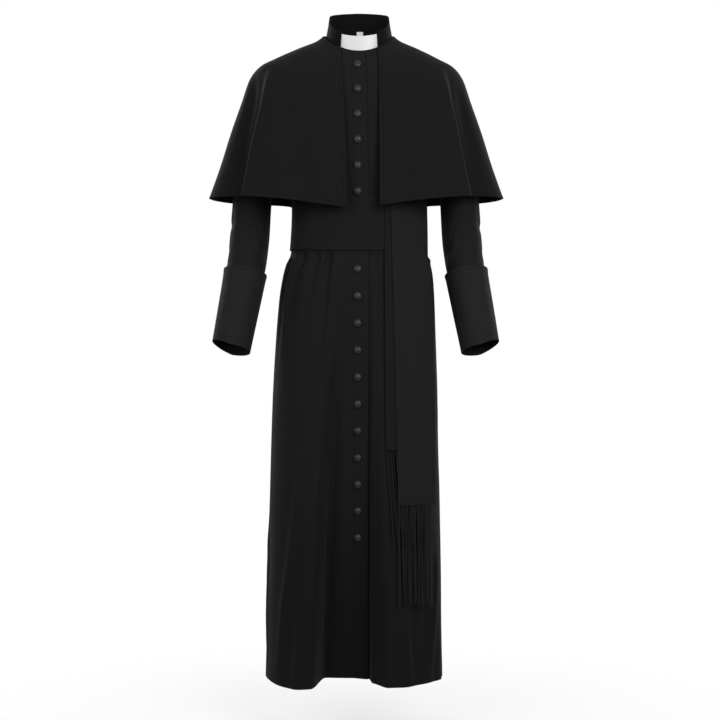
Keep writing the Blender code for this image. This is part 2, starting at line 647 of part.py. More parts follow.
def make_skirt():
    zs = [ring[1] for ring in SKIRT_RINGS]
    half_gap = gap_angle(SKIRT_SEAM_RADIUS) / 2

    def right(index, z):
        start, span = trough_wall_start(z), trough_wall_span(z)
        places = [edge_angle(z)] + SKIRT_RIGHT_ANGLES + [SKIRT_BEFORE_WALL - start]
        places += [-start - span * share for share in SKIRT_WALL_SHARES]
        places += [mix(-start - span, -90 + half_gap, share) for share in SKIRT_SIDE_SHARES]
        return right_skirt(between(places, index), z)

    def left(index, z):
        steps = [edge_angle(z) + math.degrees(past / SKIRT[2](z)) for past in SKIRT_LEFT_PAST]
        places = SKIRT_UNDERLAP + [edge_angle(z)] + steps + SKIRT_LEFT_ANGLES + [90 - half_gap]
        return left_skirt(between(places, index), z)

    right_count = len(SKIRT_RIGHT_ANGLES) + len(SKIRT_WALL_SHARES) + len(SKIRT_SIDE_SHARES) + 2
    left_count = len(SKIRT_UNDERLAP) + len(SKIRT_LEFT_PAST) + len(SKIRT_LEFT_ANGLES) + 2
    back_half = [90 + half_gap] + SKIRT_BACK_ANGLES
    wall("skirt_front_right", right, range(right_count), zs)
    wall("skirt_front_left", left, range(left_count), zs)
    wall("skirt_back", back_skirt, back_half + [180] + [360 - a for a in reversed(back_half)], zs)


# Cape

def cape_edge(profile, row):
    middle, front, height = CAPE[8](row), CAPE[4](row), CAPE[1](row)
    return math.degrees(math.atan2(profile(height) - middle, front))


def make_cape():
    rows = range(len(CAPE_RINGS))
    right_edge, left_edge = by_height(CAPE_EDGE_RIGHT), by_height(CAPE_EDGE_LEFT)
    half_gap = gap_angle(CAPE_SEAM_RADIUS) / 2

    def right(u, row):
        return cape_form(mix(cape_edge(right_edge, row), -90 + half_gap, u), row)

    def left(u, row):
        return cape_form(mix(cape_edge(left_edge, row), 90 - half_gap, u), row)

    back_half = [90 + half_gap] + CAPE_BACK_ANGLES
    wall("cape_front_right", right, CAPE_ACROSS, rows)
    wall("cape_front_left", left, CAPE_ACROSS, rows)
    wall("cape_back", cape_form, back_half + [180] + [360 - a for a in reversed(back_half)], rows)


# Collar, insert and label

def make_collar():
    def rounded(u, v):
        gap = mix(COLLAR_GAP_BASE, COLLAR_GAP_TOP, v)
        angle = mix(gap, 360 - gap, u)
        point = collar_form(angle, v)
        from_end = min(angle - gap, 360 - gap - angle)
        if from_end < COLLAR_CORNER:
            share = min(1 - from_end / COLLAR_CORNER, 1.0)
            point.z -= COLLAR_CORNER_DROP * v * (1 - math.sqrt(1 - COLLAR_ROUNDEST * share**2))
        return point

    around = COLLAR_ENDS + spread(*COLLAR_MIDDLE) + [1 - u for u in reversed(COLLAR_ENDS)]
    wall("collar", rounded, around, [1, 0.5, 0])

    def insert(u, v):
        angle = mix(-INSERT_REACH, INSERT_REACH, u)
        dip = INSERT_DIP * math.cos(math.radians(angle) * 2)
        top = INSERT_TOP - dip
        return collar_form(angle, mix(INSERT_BASE, top, v))

    wall(
        "collar_insert", insert, spread(0, 1, INSERT_COUNT), [1, 0], kind=INSERT_WHITE,
        thick=INSERT_THICK, lift=-INSERT_INSIDE,
    )

    def label(u, v):
        x, y, z = LABEL_MIDDLE
        width, height = LABEL_SIZE
        bulge = LABEL_BULGE * (1 - (2 * u - 1) ** 2)
        return Vector((x + (u - 0.5) * width, y + bulge, z + (0.5 - v) * height))

    wall("neck_label", label, [0, 0.5, 1], [0, 1], kind=LABEL_WHITE, thick=LABEL_THICK)


# Sash

def row_at_front(z):
    """The body row whose front is at a height."""
    low, high = 0.0, float(len(BODY_RINGS) - 1)
    for _ in range(40):
        middle = (low + high) / 2
        if BODY[1](middle) > z:
            low = middle
        else:
            high = middle
    return low


def front_section(z):
    """Sideways middle, half width and front depth of the body or skirt at a height in front."""
    if z > SKIRT_TOP - SKIRT_FRONT_DIP:
        row = row_at_front(z)
        return 0.0, BODY[3](row), BODY[4](row)
    return tuple(size(z + SKIRT_FRONT_DIP * eased(z, SKIRT_LEVEL_AT, SKIRT_TOP)) for size in SKIRT[:3])


def front_y(x, z):
    """How far forward the body or skirt stands at (x, z), leaving out its folds."""
    middle, width, front = front_section(z)
    share = min(abs(x - middle) / width, FALL_SIDE_LIMIT)
    return -front * (1 - share**SKIRT_SQUARE) ** (1 / SKIRT_SQUARE)


def hang_y(x, z, start):
    """The sheet that both falls hang on: it touches the front at start, and leaves it sideways."""
    at_start = front_y(start, z)
    rise = front_y(start + FALL_SLOPE_STEP, z) - front_y(start - FALL_SLOPE_STEP, z)
    slope = rise / (2 * FALL_SLOPE_STEP)
    straight = at_start + slope * (x - start)
    hug = mix(FALL_HUG_TOP, FALL_HUG, eased(z, FALL_HUG_FROM, FALL_HUG_TO))
    return mix(straight, front_y(x, z), hug)


def fall_form(fall, drift=0.0, narrow=0.0, lift=0.0):
    left, right = by_height(fall["left"]), by_height(fall["right"])
    start = by_height(FALLS["sash_fall_back"]["left"])

    def form(u, z):
        down = max(fall["end"] - z, 0.0) / FRINGE_SPREAD_LENGTH
        x = mix(left(z) + (drift + narrow / 2) * down, right(z) + (drift - narrow / 2) * down, u)
        return Vector((x, hang_y(x, z, start(z)) - lift * down, z))

    return form


def make_sash():
    around = [360 * i / BAND_COUNT for i in range(BAND_COUNT)]
    wall("sash_band", body_form, around, BAND_ROWS, lift=BAND_PROUD, closed=True)
    us = spread(0, 1, FALL_COUNT)
    for name, fall in FALLS.items():
        middle = [z for z in FALL_HEIGHTS if z > fall["end"] + FALL_LAST_STEP]
        zs = [fall["top"]] + middle + [fall["end"]]
        wall(name, fall_form(fall), us, zs, lift=BAND_PROUD + fall["proud"])
    for name, fringe in FRINGES.items():
        fall = FALLS[fringe["fall"]]
        form = fall_form(fall, fringe["drift"], fringe["narrow"], fringe["lift"])
        top = fall["end"] - SEAM_GAP
        zs = [top, mix(top, fringe["end"], 0.5), fringe["end"]]
        wall(name, form, us, zs, lift=BAND_PROUD + fall["proud"])


# Buttons

def button(name, form, places, x, z):
    """A domed button on a form, at the sideways and upright place that is asked for. places holds
    the form's two parameters to start from."""
    u, v = places
    step_u, step_v = BUTTON_SEARCH_STEPS
    for _ in range(BUTTON_SEARCH_TRIES):
        point = form(u, v)
        by_u = form(u + step_u, v).x - point.x
        by_v = form(u, v + step_v).z - point.z
        u += BUTTON_SEARCH_SHARE * (x - point.x) / by_u * step_u
        v += BUTTON_SEARCH_SHARE * (z - point.z) / by_v * step_v
    point = form(u, v)
    normal = face_normal(form, u, v, *BUTTON_NORMAL_STEPS)
    if normal.y > 0:
        normal = -normal
    turn = normal.to_track_quat("Z", "Y").to_matrix().to_4x4()
    base = point + normal * BUTTON_PROUD
    bm = bmesh.new()
    rings = []
    for share_out, share_up in BUTTON_PROFILE:
        radius, up = share_out * BUTTON_RADIUS, share_up * BUTTON_HEIGHT
        if radius == 0:
            rings.append([bm.verts.new((0, 0, up))])
            continue
        turns = [2 * math.pi * i / BUTTON_SEGMENTS for i in range(BUTTON_SEGMENTS)]
        rings.append([bm.verts.new((radius * math.cos(t), radius * math.sin(t), up)) for t in turns])
    for above, below in zip(rings[:-1], rings[1:]):
        for i in range(BUTTON_SEGMENTS):
            k = (i + 1) % BUTTON_SEGMENTS
            upper = [above[i % len(above)], above[k % len(above)]]
            lower = [below[k % len(below)], below[i % len(below)]]
            bm.faces.new(list(dict.fromkeys(upper + lower)))
    bmesh.ops.transform(bm, matrix=Matrix.Translation(base) @ turn, verts=bm.verts)
    add_object(name, bm, BUTTON_CLOTH)


def make_buttons():
    (top, top_step, top_count), (low, low_step, low_count) = BUTTON_ROWS
    number = 0
    for i in range(top_count):
        number += 1
        z = top - i * top_step
        button(f"button_{number:02d}", body_form, (0.0, row_at_front(z)), BUTTON_X, z)
    for i in range(low_count):
        number += 1
        z = low - i * low_step
        button(f"button_{number:02d}", right_skirt, (0.0, z), BUTTON_X, z)


def main():
    for obj in list(bpy.data.objects):
        bpy.data.objects.remove(obj)
    make_bodice()
    make_sleeves()
    make_skirt()
    make_cape()
    make_collar()
    make_sash()
    make_buttons()


main()
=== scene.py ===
"""The looks of a black clerical cassock: its cloth panels with their folds, creases and stitching, the
covered buttons, the sash's falls and their corded fringes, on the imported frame. Metres, +Z up."""

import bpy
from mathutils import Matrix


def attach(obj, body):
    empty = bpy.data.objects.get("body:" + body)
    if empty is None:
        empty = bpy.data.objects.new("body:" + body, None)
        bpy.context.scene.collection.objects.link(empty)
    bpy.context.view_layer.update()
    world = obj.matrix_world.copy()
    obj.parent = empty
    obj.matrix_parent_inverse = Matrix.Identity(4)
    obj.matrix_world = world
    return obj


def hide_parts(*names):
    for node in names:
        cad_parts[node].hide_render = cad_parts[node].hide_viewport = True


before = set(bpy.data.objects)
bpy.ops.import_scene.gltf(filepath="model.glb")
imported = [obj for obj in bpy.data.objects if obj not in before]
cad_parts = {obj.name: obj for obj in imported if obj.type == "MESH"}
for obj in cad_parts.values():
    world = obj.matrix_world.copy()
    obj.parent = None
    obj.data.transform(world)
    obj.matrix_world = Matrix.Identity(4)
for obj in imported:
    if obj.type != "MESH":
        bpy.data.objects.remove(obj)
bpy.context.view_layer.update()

import math

import bpy
import numpy as np
from mathutils import Matrix, Vector

# Cloth and seams
CLOTH = 0.0020
SEAM_GAP = 0.0001
SKIRT_SEAM_RADIUS, CAPE_SEAM_RADIUS, ARMHOLE_GAP_RADIUS = 0.17, 0.25, 0.19
SKIRT_HIDDEN_EDGE = -4.0
OVERLAP_STEP = CLOTH + 0.0005
OVERLAP_SLACK = 0.0015
EDGE_CLEAR = 0.0012
EDGE_TURN = 0.0090
GRID = 0.0042

# The closing edge of the front: sideways place by height
CLOSING_EDGE = [(0.0, 0.0125), (-0.10, 0.0165), (-0.33, 0.0205), (-1.40, 0.0215)]

# Rings of the body: heights at the side, front and back, then half width, depth in front and
# behind, how square the ring is, and how its height bows from side to front
BODY_RINGS = [
    # z_side   z_front  z_back   width   front   back    square bow
    (0.0315, -0.0125, 0.0485, 0.0735, 0.0745, 0.0715, 2.0, 1.3),
    (0.0180, -0.0260, 0.0330, 0.0920, 0.0820, 0.0820, 2.0, 1.5),
    (0.0030, -0.0420, 0.0150, 0.1200, 0.0900, 0.0930, 2.0, 1.8),
    (-0.0180, -0.0660, -0.0150, 0.1640, 0.1000, 0.1060, 2.1, 2.0),
    (-0.0380, -0.0940, -0.0480, 0.2020, 0.1080, 0.1150, 2.2, 2.0),
    (-0.1200, -0.1500, -0.1250, 0.1900, 0.1160, 0.1200, 2.3, 2.0),
    (-0.2050, -0.2120, -0.2050, 0.1680, 0.1200, 0.1170, 2.3, 2.0),
    (-0.2700, -0.2750, -0.2700, 0.1530, 0.1190, 0.1090, 2.3, 2.0),
    (-0.3500, -0.3560, -0.3500, 0.1435, 0.1150, 0.1030, 2.2, 2.0),
    (-0.4330, -0.4400, -0.4330, 0.1475, 0.1155, 0.1050, 2.2, 2.0),
    (-0.4600, -0.4670, -0.4600, 0.1500, 0.1180, 0.1080, 2.2, 2.0),
]
TIP_ROW, ARMPIT_ROW, SEAM_ROW = 4, 6, 9
ARMHOLE_ANGLE = 31.0
BAND_TOP_ROW, BAND_BOTTOM_ROW = 7.67, 9.12
BAND_PROUD = CLOTH + 0.0014

# Rings of the shoulder cape, with the sideways place of the ring's middle last
CAPE_RINGS = [
    (0.0350, -0.0095, 0.0530, 0.0765, 0.0790, 0.0760, 2.0, 1.3, 0.0),
    (0.0235, -0.0240, 0.0380, 0.0910, 0.0865, 0.0870, 2.0, 1.5, 0.0),
    (0.0050, -0.0440, 0.0190, 0.1320, 0.0960, 0.0990, 2.1, 1.8, -0.002),
    (-0.0195, -0.0760, -0.0120, 0.1810, 0.1090, 0.1130, 2.3, 2.0, -0.004),
    (-0.0370, -0.1060, -0.0450, 0.2140, 0.1175, 0.1225, 2.5, 2.0, -0.005),
    (-0.0600, -0.1400, -0.0850, 0.2340, 0.1235, 0.1290, 2.6, 2.0, -0.005),
    (-0.1150, -0.1900, -0.1450, 0.2540, 0.1300, 0.1360, 2.6, 2.0, -0.005),
    (-0.1800, -0.2420, -0.2050, 0.2770, 0.1360, 0.1430, 2.6, 2.0, -0.005),
    (-0.2500, -0.2980, -0.2700, 0.2990, 0.1410, 0.1500, 2.6, 2.0, -0.005),
    (-0.3220, -0.3540, -0.3400, 0.3245, 0.1460, 0.1570, 2.6, 2.0, -0.005),
]
CAPE_EDGE_RIGHT = [(0.0, -0.0455), (-0.10, -0.0330), (-0.34, -0.0235)]
CAPE_EDGE_LEFT = [(0.0, 0.0480), (-0.10, 0.0450), (-0.34, 0.0455)]

# Cape folds: angle from the front at the start and end, reach to the front and back, depth (a ridge
# is negative), and the rows between which the fold grows
CAPE_FOLDS = [
    (-64.0, -61.5, 22.0, 9.0, -0.018, 3.6, 9.0),
    (-72.0, -71.0, 9.5, 21.0, 0.046, 3.8, 9.0),
    (-52.0, -41.0, 13.0, 13.0, 0.007, 3.5, 8.0),
    (64.0, 61.5, 22.0, 9.0, -0.018, 3.6, 9.0),
    (72.0, 71.0, 9.5, 21.0, 0.046, 3.8, 9.0),
    (50.0, 36.0, 14.0, 14.0, 0.008, 3.5, 8.0),
    (-128.0, -126.0, 15.0, 15.0, 0.030, 4.2, 9.0),
    (125.0, 127.0, 14.0, 16.0, 0.028, 4.2, 9.0),
    (176.0, 178.0, 18.0, 18.0, 0.016, 4.5, 9.0),
]

# Rings of the skirt: height, sideways place of the middle, half width, depth in front and behind
SKIRT_RINGS = [
    (-0.4335, 0.0000, 0.1475, 0.1155, 0.1050),
    (-0.4470, 0.0000, 0.1492, 0.1172, 0.1066),
    (-0.4700, -0.0005, 0.1590, 0.1235, 0.1160),
    (-0.5000, -0.0015, 0.1655, 0.1280, 0.1250),
    (-0.5460, -0.0035, 0.1705, 0.1325, 0.1350),
    (-0.6200, -0.0055, 0.1750, 0.1370, 0.1450),
    (-0.7300, -0.0070, 0.1800, 0.1420, 0.1540),
    (-0.8800, -0.0085, 0.1840, 0.1480, 0.1620),
    (-1.0700, -0.0085, 0.1885, 0.1560, 0.1700),
    (-1.2500, -0.0095, 0.1915, 0.1640, 0.1780),
    (-1.3680, -0.0100, 0.1940, 0.1700, 0.1830),
]
SKIRT_TOP, SKIRT_HEM = SKIRT_RINGS[0][0], SKIRT_RINGS[-1][0]
SKIRT_SQUARE = 2.2
SKIRT_FRONT_DIP = 0.007
SKIRT_LEVEL_AT = -0.60
LOBE_ANGLE, LOBE_REACH, LOBE_DROP = -48.0, 34.0, 0.0070
TROUGH_START = -0.50
TROUGH_DEPTH = 0.118
TROUGH_POWER = 1.15
TROUGH_WALL_START = [(-0.50, 10.5), (-0.66, 13.0), (-0.90, 16.0), (-1.15, 18.8), (-1.368, 20.5)]
TROUGH_WALL_SPAN = [(-0.50, 17.0), (-0.90, 13.0), (-1.368, 9.5)]
TROUGH_AT_EDGE = 0.88
TROUGH_BEYOND_EDGE = 0.50
TROUGH_END_ANGLE = 25.0

# Skirt folds: angles at the start and end, reach to the front and back, depth, and the heights where
# the fold starts, is full, starts to fade and ends
SKIRT_FOLDS = [
    (-29.0, -40.0, 6.0, 7.0, 0.0080, -0.4340, -0.4600, -0.55, -0.74),
    (-42.0, -52.0, 5.0, 6.0, 0.0055, -0.4340, -0.4550, -0.50, -0.62),
    (-57.0, -64.0, 5.0, 7.0, 0.0050, -0.4340, -0.4600, -0.54, -0.70),
    (-73.0, -78.0, 6.0, 6.0, 0.0050, -0.4340, -0.4600, -0.55, -0.72),
    (74.0, 77.0, 6.0, 7.0, 0.0050, -0.4340, -0.4600, -0.55, -0.70),
    (-30.0, -53.0, 12.0, 12.0, -0.0090, -0.7000, -1.0000, -1.36, -2.40),
    (34.0, 42.0, 11.0, 11.0, -0.0070, -1.0000, -1.3000, -1.36, -2.40),
    (72.0, 64.0, 9.0, 9.0, -0.0050, -1.0000, -1.3000, -1.36, -2.40),
    (180.0, 180.0, 16.0, 16.0, 0.0550, -0.4400, -1.3680, -1.36, -2.40),
    (-139.0, -136.0, 15.0, 17.0, 0.0400, -0.4400, -1.3680, -1.36, -2.40),
    (140.0, 137.0, 15.0, 17.0, 0.0380, -0.4400, -1.3680, -1.36, -2.40),
    (-104.0, -102.0, 14.0, 14.0, 0.0200, -0.6000, -1.3680, -1.36, -2.40),
    (103.0, 101.0, 14.0, 14.0, 0.0200, -0.6000, -1.3680, -1.36, -2.40),
]

# The arm's path: height, how far out from the middle, y, then the sleeve's half width and depth
ARM_MIDDLE = -0.006
ARM_RINGS = [
    (-0.2180, 0.2195, 0.0040, 0.0430, 0.0550),
    (-0.3370, 0.2290, 0.0100, 0.0430, 0.0560),
    (-0.4140, 0.2345, 0.0120, 0.0435, 0.0560),
    (-0.4630, 0.2395, 0.0070, 0.0425, 0.0550),
    (-0.4950, 0.2445, 0.0000, 0.0415, 0.0540),
    (-0.6550, 0.2720, -0.0370, 0.0385, 0.0500),
]
SLEEVE_CORNER = {
    "in": 0.1700, "out": 0.2380, "z_top": -0.0450, "z_under": -0.2130, "y": 0.0020, "depth": 0.0580,
}
ARMHOLE_CLEAR = 0.012
SLEEVE_SEAM = 60.0
SLEEVE_END_ROW = 4.90
CUFF_SLANT = 0.065
CUFF_TOP_ROW, CUFF_END_ROW = 3.82, 5.0
CUFF_CLEAR_TOP, CUFF_CLEAR_END = 0.0042, 0.0026

# The stand collar and what shows in its gap
COLLAR_RINGS = [
    (0.0328, -0.0110, 0.0498, 0.0725, 0.0735, 0.0705, 2.0, 1.3, 0.0015),
    (0.0660, 0.0235, 0.0980, 0.0662, 0.0690, 0.0670, 2.5, 1.3, 0.0015),
]
COLLAR_BACK_BOW = 0.60
COLLAR_CORNER, COLLAR_CORNER_DROP = 5.0, 0.0045
COLLAR_GAP_BASE, COLLAR_GAP_TOP = 34.0, 32.4
INSERT_THICK = 0.0010
INSERT_INSIDE = CLOTH + 0.0008
INSERT_REACH = 52.0
INSERT_BASE, INSERT_TOP, INSERT_DIP = 0.03, 0.82, -0.14
LABEL_SIZE = (0.014, 0.026)
LABEL_THICK = 0.0008
LABEL_MIDDLE = (0.0030, 0.0665, 0.0440)

# The sash's falls: sideways edges by height, top, end, and how far each stands off the band
FALLS = {
    "sash_fall_front": {
        "left": [(-0.33, 0.0660), (-0.44, 0.0690), (-0.61, 0.0735), (-0.77, 0.0772), (-0.99, 0.0814)],
        "right": [(-0.33, 0.1475), (-0.44, 0.1480), (-0.61, 0.1535), (-0.77, 0.1575), (-0.99, 0.1585)],
        "top": -0.3300, "end": -0.9860, "proud": 2 * CLOTH + 0.0024,
    },
    "sash_fall_back": {
        "left": [(-0.33, 0.0560), (-0.44, 0.0545), (-0.61, 0.0550), (-0.77, 0.0560), (-0.87, 0.0568)],
        "right": [(-0.33, 0.1370), (-0.44, 0.1370), (-0.61, 0.1400), (-0.77, 0.1440), (-0.87, 0.1450)],
        "top": -0.3340, "end": -0.8680, "proud": CLOTH + 0.0015,
    },
}
FRINGES = {
    "fringe_front": {
        "fall": "sash_fall_front", "end": -1.2010, "drift": 0.0020, "narrow": 0.0040, "lift": 0.0040,
    },
    "fringe_back": {"fall": "sash_fall_back", "end": -1.0720, "drift": 0.0110, "narrow": 0.0100, "lift": 0.0},
}
FALL_HUG_TOP, FALL_HUG = 0.60, 0.40
FALL_HUG_FROM, FALL_HUG_TO = -0.34, -0.42

# Fringe cords: two strands twisted together
CORD_COUNT = 18
CORD_LAYERS = 2
CORD_LAYER_STEP = 0.0036
CORD_RADIUS = 0.0015
STRAND_RADIUS = 0.00086
CORD_TWIST = 0.0085
CORD_STEPS_PER_TURN = 6
STRAND_SIDES = 5
CORD_TOP_GAP, CORD_END_GAP, CORD_UNEVEN = 0.0008, 0.004, 0.005
CORD_SWAY = 0.010

# Creases, each in its own piece's cloth: places along it (across from the first edge, down from the
# top), half width and depth (a ridge is negative)
CREASES = {
    "bodice_front_right": [
        ([(0.060, 0.300), (0.150, 0.345)], 0.010, 0.0012),
        ([(0.050, 0.120), (0.060, 0.260)], 0.012, 0.0010),
    ],
    "bodice_front_left": [([(0.110, 0.290), (0.190, 0.345)], 0.010, 0.0012)],
    "bodice_back": [
        ([(0.080, 0.130), (0.120, 0.250), (0.130, 0.360)], 0.014, 0.0022),
        ([(0.250, 0.150), (0.235, 0.260), (0.225, 0.370)], 0.014, 0.0020),
        ([(0.130, 0.380), (0.240, 0.390)], 0.009, 0.0014),
    ],
    "sleeve_top": [
        ([(0.010, 0.285), (0.060, 0.320), (0.110, 0.318)], 0.010, 0.0030),
        ([(0.150, 0.345), (0.100, 0.365), (0.040, 0.355)], 0.009, 0.0024),
        ([(0.020, 0.400), (0.070, 0.425), (0.130, 0.415)], 0.009, 0.0020),
        ([(0.125, 0.150), (0.118, 0.240), (0.128, 0.330), (0.124, 0.420)], 0.008, 0.0018),
        ([(0.060, 0.100), (0.070, 0.180), (0.064, 0.270)], 0.014, 0.0018),
    ],
    "sleeve_under": [
        ([(0.005, 0.335), (0.045, 0.310), (0.100, 0.296)], 0.010, 0.0030),
        ([(0.030, 0.250), (0.060, 0.262), (0.110, 0.245)], 0.010, 0.0022),
        ([(0.010, 0.385), (0.060, 0.355), (0.125, 0.350)], 0.009, 0.0024),
        ([(0.030, 0.360), (0.026, 0.300), (0.040, 0.230)], 0.011, 0.0016),
    ],
    "cuff": [
        ([(0.078, 0.012), (0.086, 0.070), (0.080, 0.140)], 0.010, 0.0016),
        ([(0.128, 0.030), (0.122, 0.095), (0.128, 0.150)], 0.011, 0.0018),
        ([(0.052, 0.030), (0.048, 0.100), (0.056, 0.150)], 0.008, -0.0012),
        ([(0.215, 0.020), (0.222, 0.150)], 0.011, 0.0016),
        ([(0.290, 0.040), (0.282, 0.140)], 0.011, 0.0014),
    ],
    "skirt_front_right": [
        ([(0.078, -0.050), (0.085, 0.009), (0.104, 0.061), (0.116, 0.114), (0.126, 0.190)], 0.0065, 0.0042),
        ([(0.066, -0.040), (0.072, 0.020), (0.084, 0.080), (0.094, 0.150)], 0.0080, -0.0022),
        ([(0.047, -0.040), (0.051, 0.020), (0.056, 0.111), (0.060, 0.230)], 0.0065, 0.0030),
        ([
            (0.057, 0.120), (0.060, 0.218), (0.069, 0.326), (0.074, 0.463), (0.085, 0.600),
            (0.097, 0.785), (0.114, 0.960),
        ], 0.0105, 0.0055),
        ([(0.108, -0.040), (0.112, 0.012), (0.120, 0.060)], 0.0050, 0.0030),
        ([(0.140, -0.040), (0.149, 0.009), (0.177, 0.072), (0.193, 0.138), (0.200, 0.200)], 0.0070, 0.0042),
        ([(0.122, 0.010), (0.148, 0.075), (0.160, 0.150)], 0.0090, -0.0018),
        ([(0.196, -0.040), (0.214, 0.032), (0.231, 0.094), (0.240, 0.170)], 0.0065, 0.0036),
        ([(0.186, 0.010), (0.204, 0.080), (0.214, 0.160)], 0.0080, -0.0016),
        ([
            (0.112, 0.300), (0.150, 0.400), (0.182, 0.498), (0.231, 0.672), (0.270, 0.790), (0.318, 0.980),
        ], 0.0110, -0.0052),
        ([(0.140, 0.520), (0.170, 0.680), (0.200, 0.860)], 0.0160, 0.0026),
        ([(0.300, 0.300), (0.318, 0.520), (0.330, 0.760)], 0.0120, 0.0024),
        ([(0.330, 0.560), (0.352, 0.760), (0.372, 0.960)], 0.0100, -0.0036),
    ],
    "skirt_front_left": [
        ([(0.037, -0.040), (0.039, 0.012), (0.041, 0.050)], 0.0035, 0.0020),
        ([(0.050, -0.040), (0.051, 0.012), (0.054, 0.060)], 0.0035, 0.0020),
        ([(0.240, 0.020), (0.248, 0.120), (0.256, 0.300), (0.262, 0.480)], 0.0065, 0.0036),
        ([(0.262, 0.060), (0.272, 0.200), (0.280, 0.420)], 0.0070, -0.0020),
        ([(0.150, 0.660), (0.175, 0.794), (0.216, 0.960)], 0.0100, -0.0050),
        ([(0.262, 0.640), (0.268, 0.742), (0.273, 0.960)], 0.0090, -0.0042),
        ([(0.120, 0.560), (0.124, 0.700), (0.140, 0.860)], 0.0140, 0.0024),
        ([(0.232, 0.720), (0.238, 0.840), (0.240, 0.960)], 0.0120, 0.0024),
    ],
    "skirt_back": [
        ([(0.060, -0.040), (0.075, 0.080), (0.088, 0.200)], 0.0070, 0.0034),
        ([(0.120, -0.040), (0.128, 0.110), (0.140, 0.260)], 0.0075, 0.0038),
        ([(0.175, -0.040), (0.180, 0.070), (0.190, 0.150)], 0.0060, 0.0030),
        ([(0.235, -0.040), (0.232, 0.090), (0.226, 0.180)], 0.0060, 0.0030),
        ([(0.290, -0.040), (0.284, 0.120), (0.272, 0.280)], 0.0075, 0.0038),
        ([(0.350, -0.040), (0.340, 0.090), (0.330, 0.200)], 0.0070, 0.0032),
        ([(0.160, 0.360), (0.165, 0.600), (0.150, 0.940)], 0.0120, -0.0040),
        ([(0.330, 0.420), (0.345, 0.640), (0.370, 0.940)], 0.0120, -0.0040),
        ([(0.470, 0.500), (0.500, 0.700), (0.520, 0.940)], 0.0110, -0.0036),
        ([(0.560, 0.300), (0.575, 0.520), (0.590, 0.800)], 0.0120, 0.0030),
    ],
    "cape_front_right": [
        ([(0.146, 0.110), (0.137, 0.183), (0.124, 0.260), (0.116, 0.340), (0.110, 0.390)], 0.0130, 0.0034),
        ([(0.062, 0.150), (0.058, 0.250), (0.052, 0.350)], 0.0160, 0.0014),
        ([(0.180, 0.190), (0.196, 0.280), (0.206, 0.370)], 0.0150, 0.0016),
        ([(0.234, 0.170), (0.258, 0.250), (0.286, 0.340), (0.324, 0.470)], 0.0140, 0.0085),
    ],
    "cape_front_left": [
        ([(0.122, 0.100), (0.113, 0.145), (0.092, 0.230), (0.062, 0.314), (0.050, 0.380)], 0.0140, 0.0036),
        ([(0.160, 0.200), (0.150, 0.290), (0.146, 0.370)], 0.0150, 0.0016),
        ([(0.212, 0.190), (0.238, 0.270), (0.262, 0.350), (0.292, 0.460)], 0.0140, 0.0060),
    ],
    "cape_back": [
        ([(0.180, 0.150), (0.200, 0.260), (0.225, 0.390)], 0.0160, 0.0040),
        ([(0.300, 0.130), (0.330, 0.260), (0.350, 0.400)], 0.0150, 0.0036),
        ([(0.480, 0.140), (0.520, 0.270), (0.550, 0.400)], 0.0150, 0.0038),
        ([(0.600, 0.150), (0.660, 0.270), (0.720, 0.390)], 0.0160, 0.0040),
    ],
    "sash_band": [
        ([(0.050, 0.034), (0.150, 0.046), (0.240, 0.040)], 0.010, 0.0008),
        ([(0.330, 0.080), (0.470, 0.070), (0.610, 0.078)], 0.010, 0.0009),
        ([(0.640, 0.030), (0.760, 0.040)], 0.010, 0.0008),
    ],
    "sash_fall_front": [
        ([(0.024, 0.080), (0.030, 0.240), (0.026, 0.480)], 0.012, 0.0012),
        ([(0.060, 0.160), (0.056, 0.360), (0.062, 0.600)], 0.012, 0.0010),
    ],
    "sash_fall_back": [([(0.030, 0.080), (0.034, 0.300), (0.030, 0.480)], 0.012, 0.0010)],
}

# How light the plain cloth is; the painted light and shade of the other pieces, as lighter or darker
# shares of that same cloth for how light falls on each; how much painted shade darkens the skirt's lower
# part; the weave's and the stitches' sizes; and where across a piece its rows are spaced
SHADE = 0.0100
PAINTED_LIGHT_BY_PIECE = {
    "sleeve": 1.22,
    "cuff": 1.62,
    "cape": 0.84,
    "collar": 0.38,
    "sash_band": 0.98,
    "sash_fall_front": 1.25,
    "sash_fall_back": 0.95,
}
SKIRT_PAINTED_SHADE = 0.30
TWILL_RIB, TWILL_ROUGHNESS, TWILL_SHEEN = 0.00085, 0.85, 0.03
STITCH_LENGTH, STITCH_WIDTH, STITCH_GROOVE = 0.0028, 0.0006, 0.0017
ROWS_MAIN = (0.2, 0.5, 0.8)

# Covered buttons
BUTTON_RADIUS = 0.0088
BUTTON_SIDES, BUTTON_RINGS = 32, 20
BUTTON_FLATTEN = 0.62
BUTTON_BACK = 0.0012
BUTTON_GATHER, BUTTON_DISH = 0.0022, 0.0006

# Light, camera and floor
CAMERA_PLACE = (0.0033, -3.6, -0.678)
CAMERA_LENS, CAMERA_SENSOR = 81.8, 36.0
FLOOR_DROP = 0.11
FLOOR_RADIUS = 1.1
FLOOR_STRENGTH = 0.32
ROOM_LIGHT = 0.25
LAMPS = [
    # name          place              aimed at           size  watts
    ("key", (1.2, -2.4, 0.45), (0.0, 0.0, -0.40), 1.5, 47.0),
    ("fill", (-1.7, -2.2, 0.35), (0.0, 0.0, -0.45), 1.8, 26.0),
    ("top", (0.0, -0.2, 1.9), (0.0, 0.0, -0.4), 1.4, 4.0),
    ("behind_right", (-2.0, 2.2, 0.6), (0.0, 0.0, -0.5), 1.6, 52.0),
    ("behind_left", (2.0, 2.2, 0.6), (0.0, 0.0, -0.5), 1.6, 40.0),
]


# Lines, rings and folds

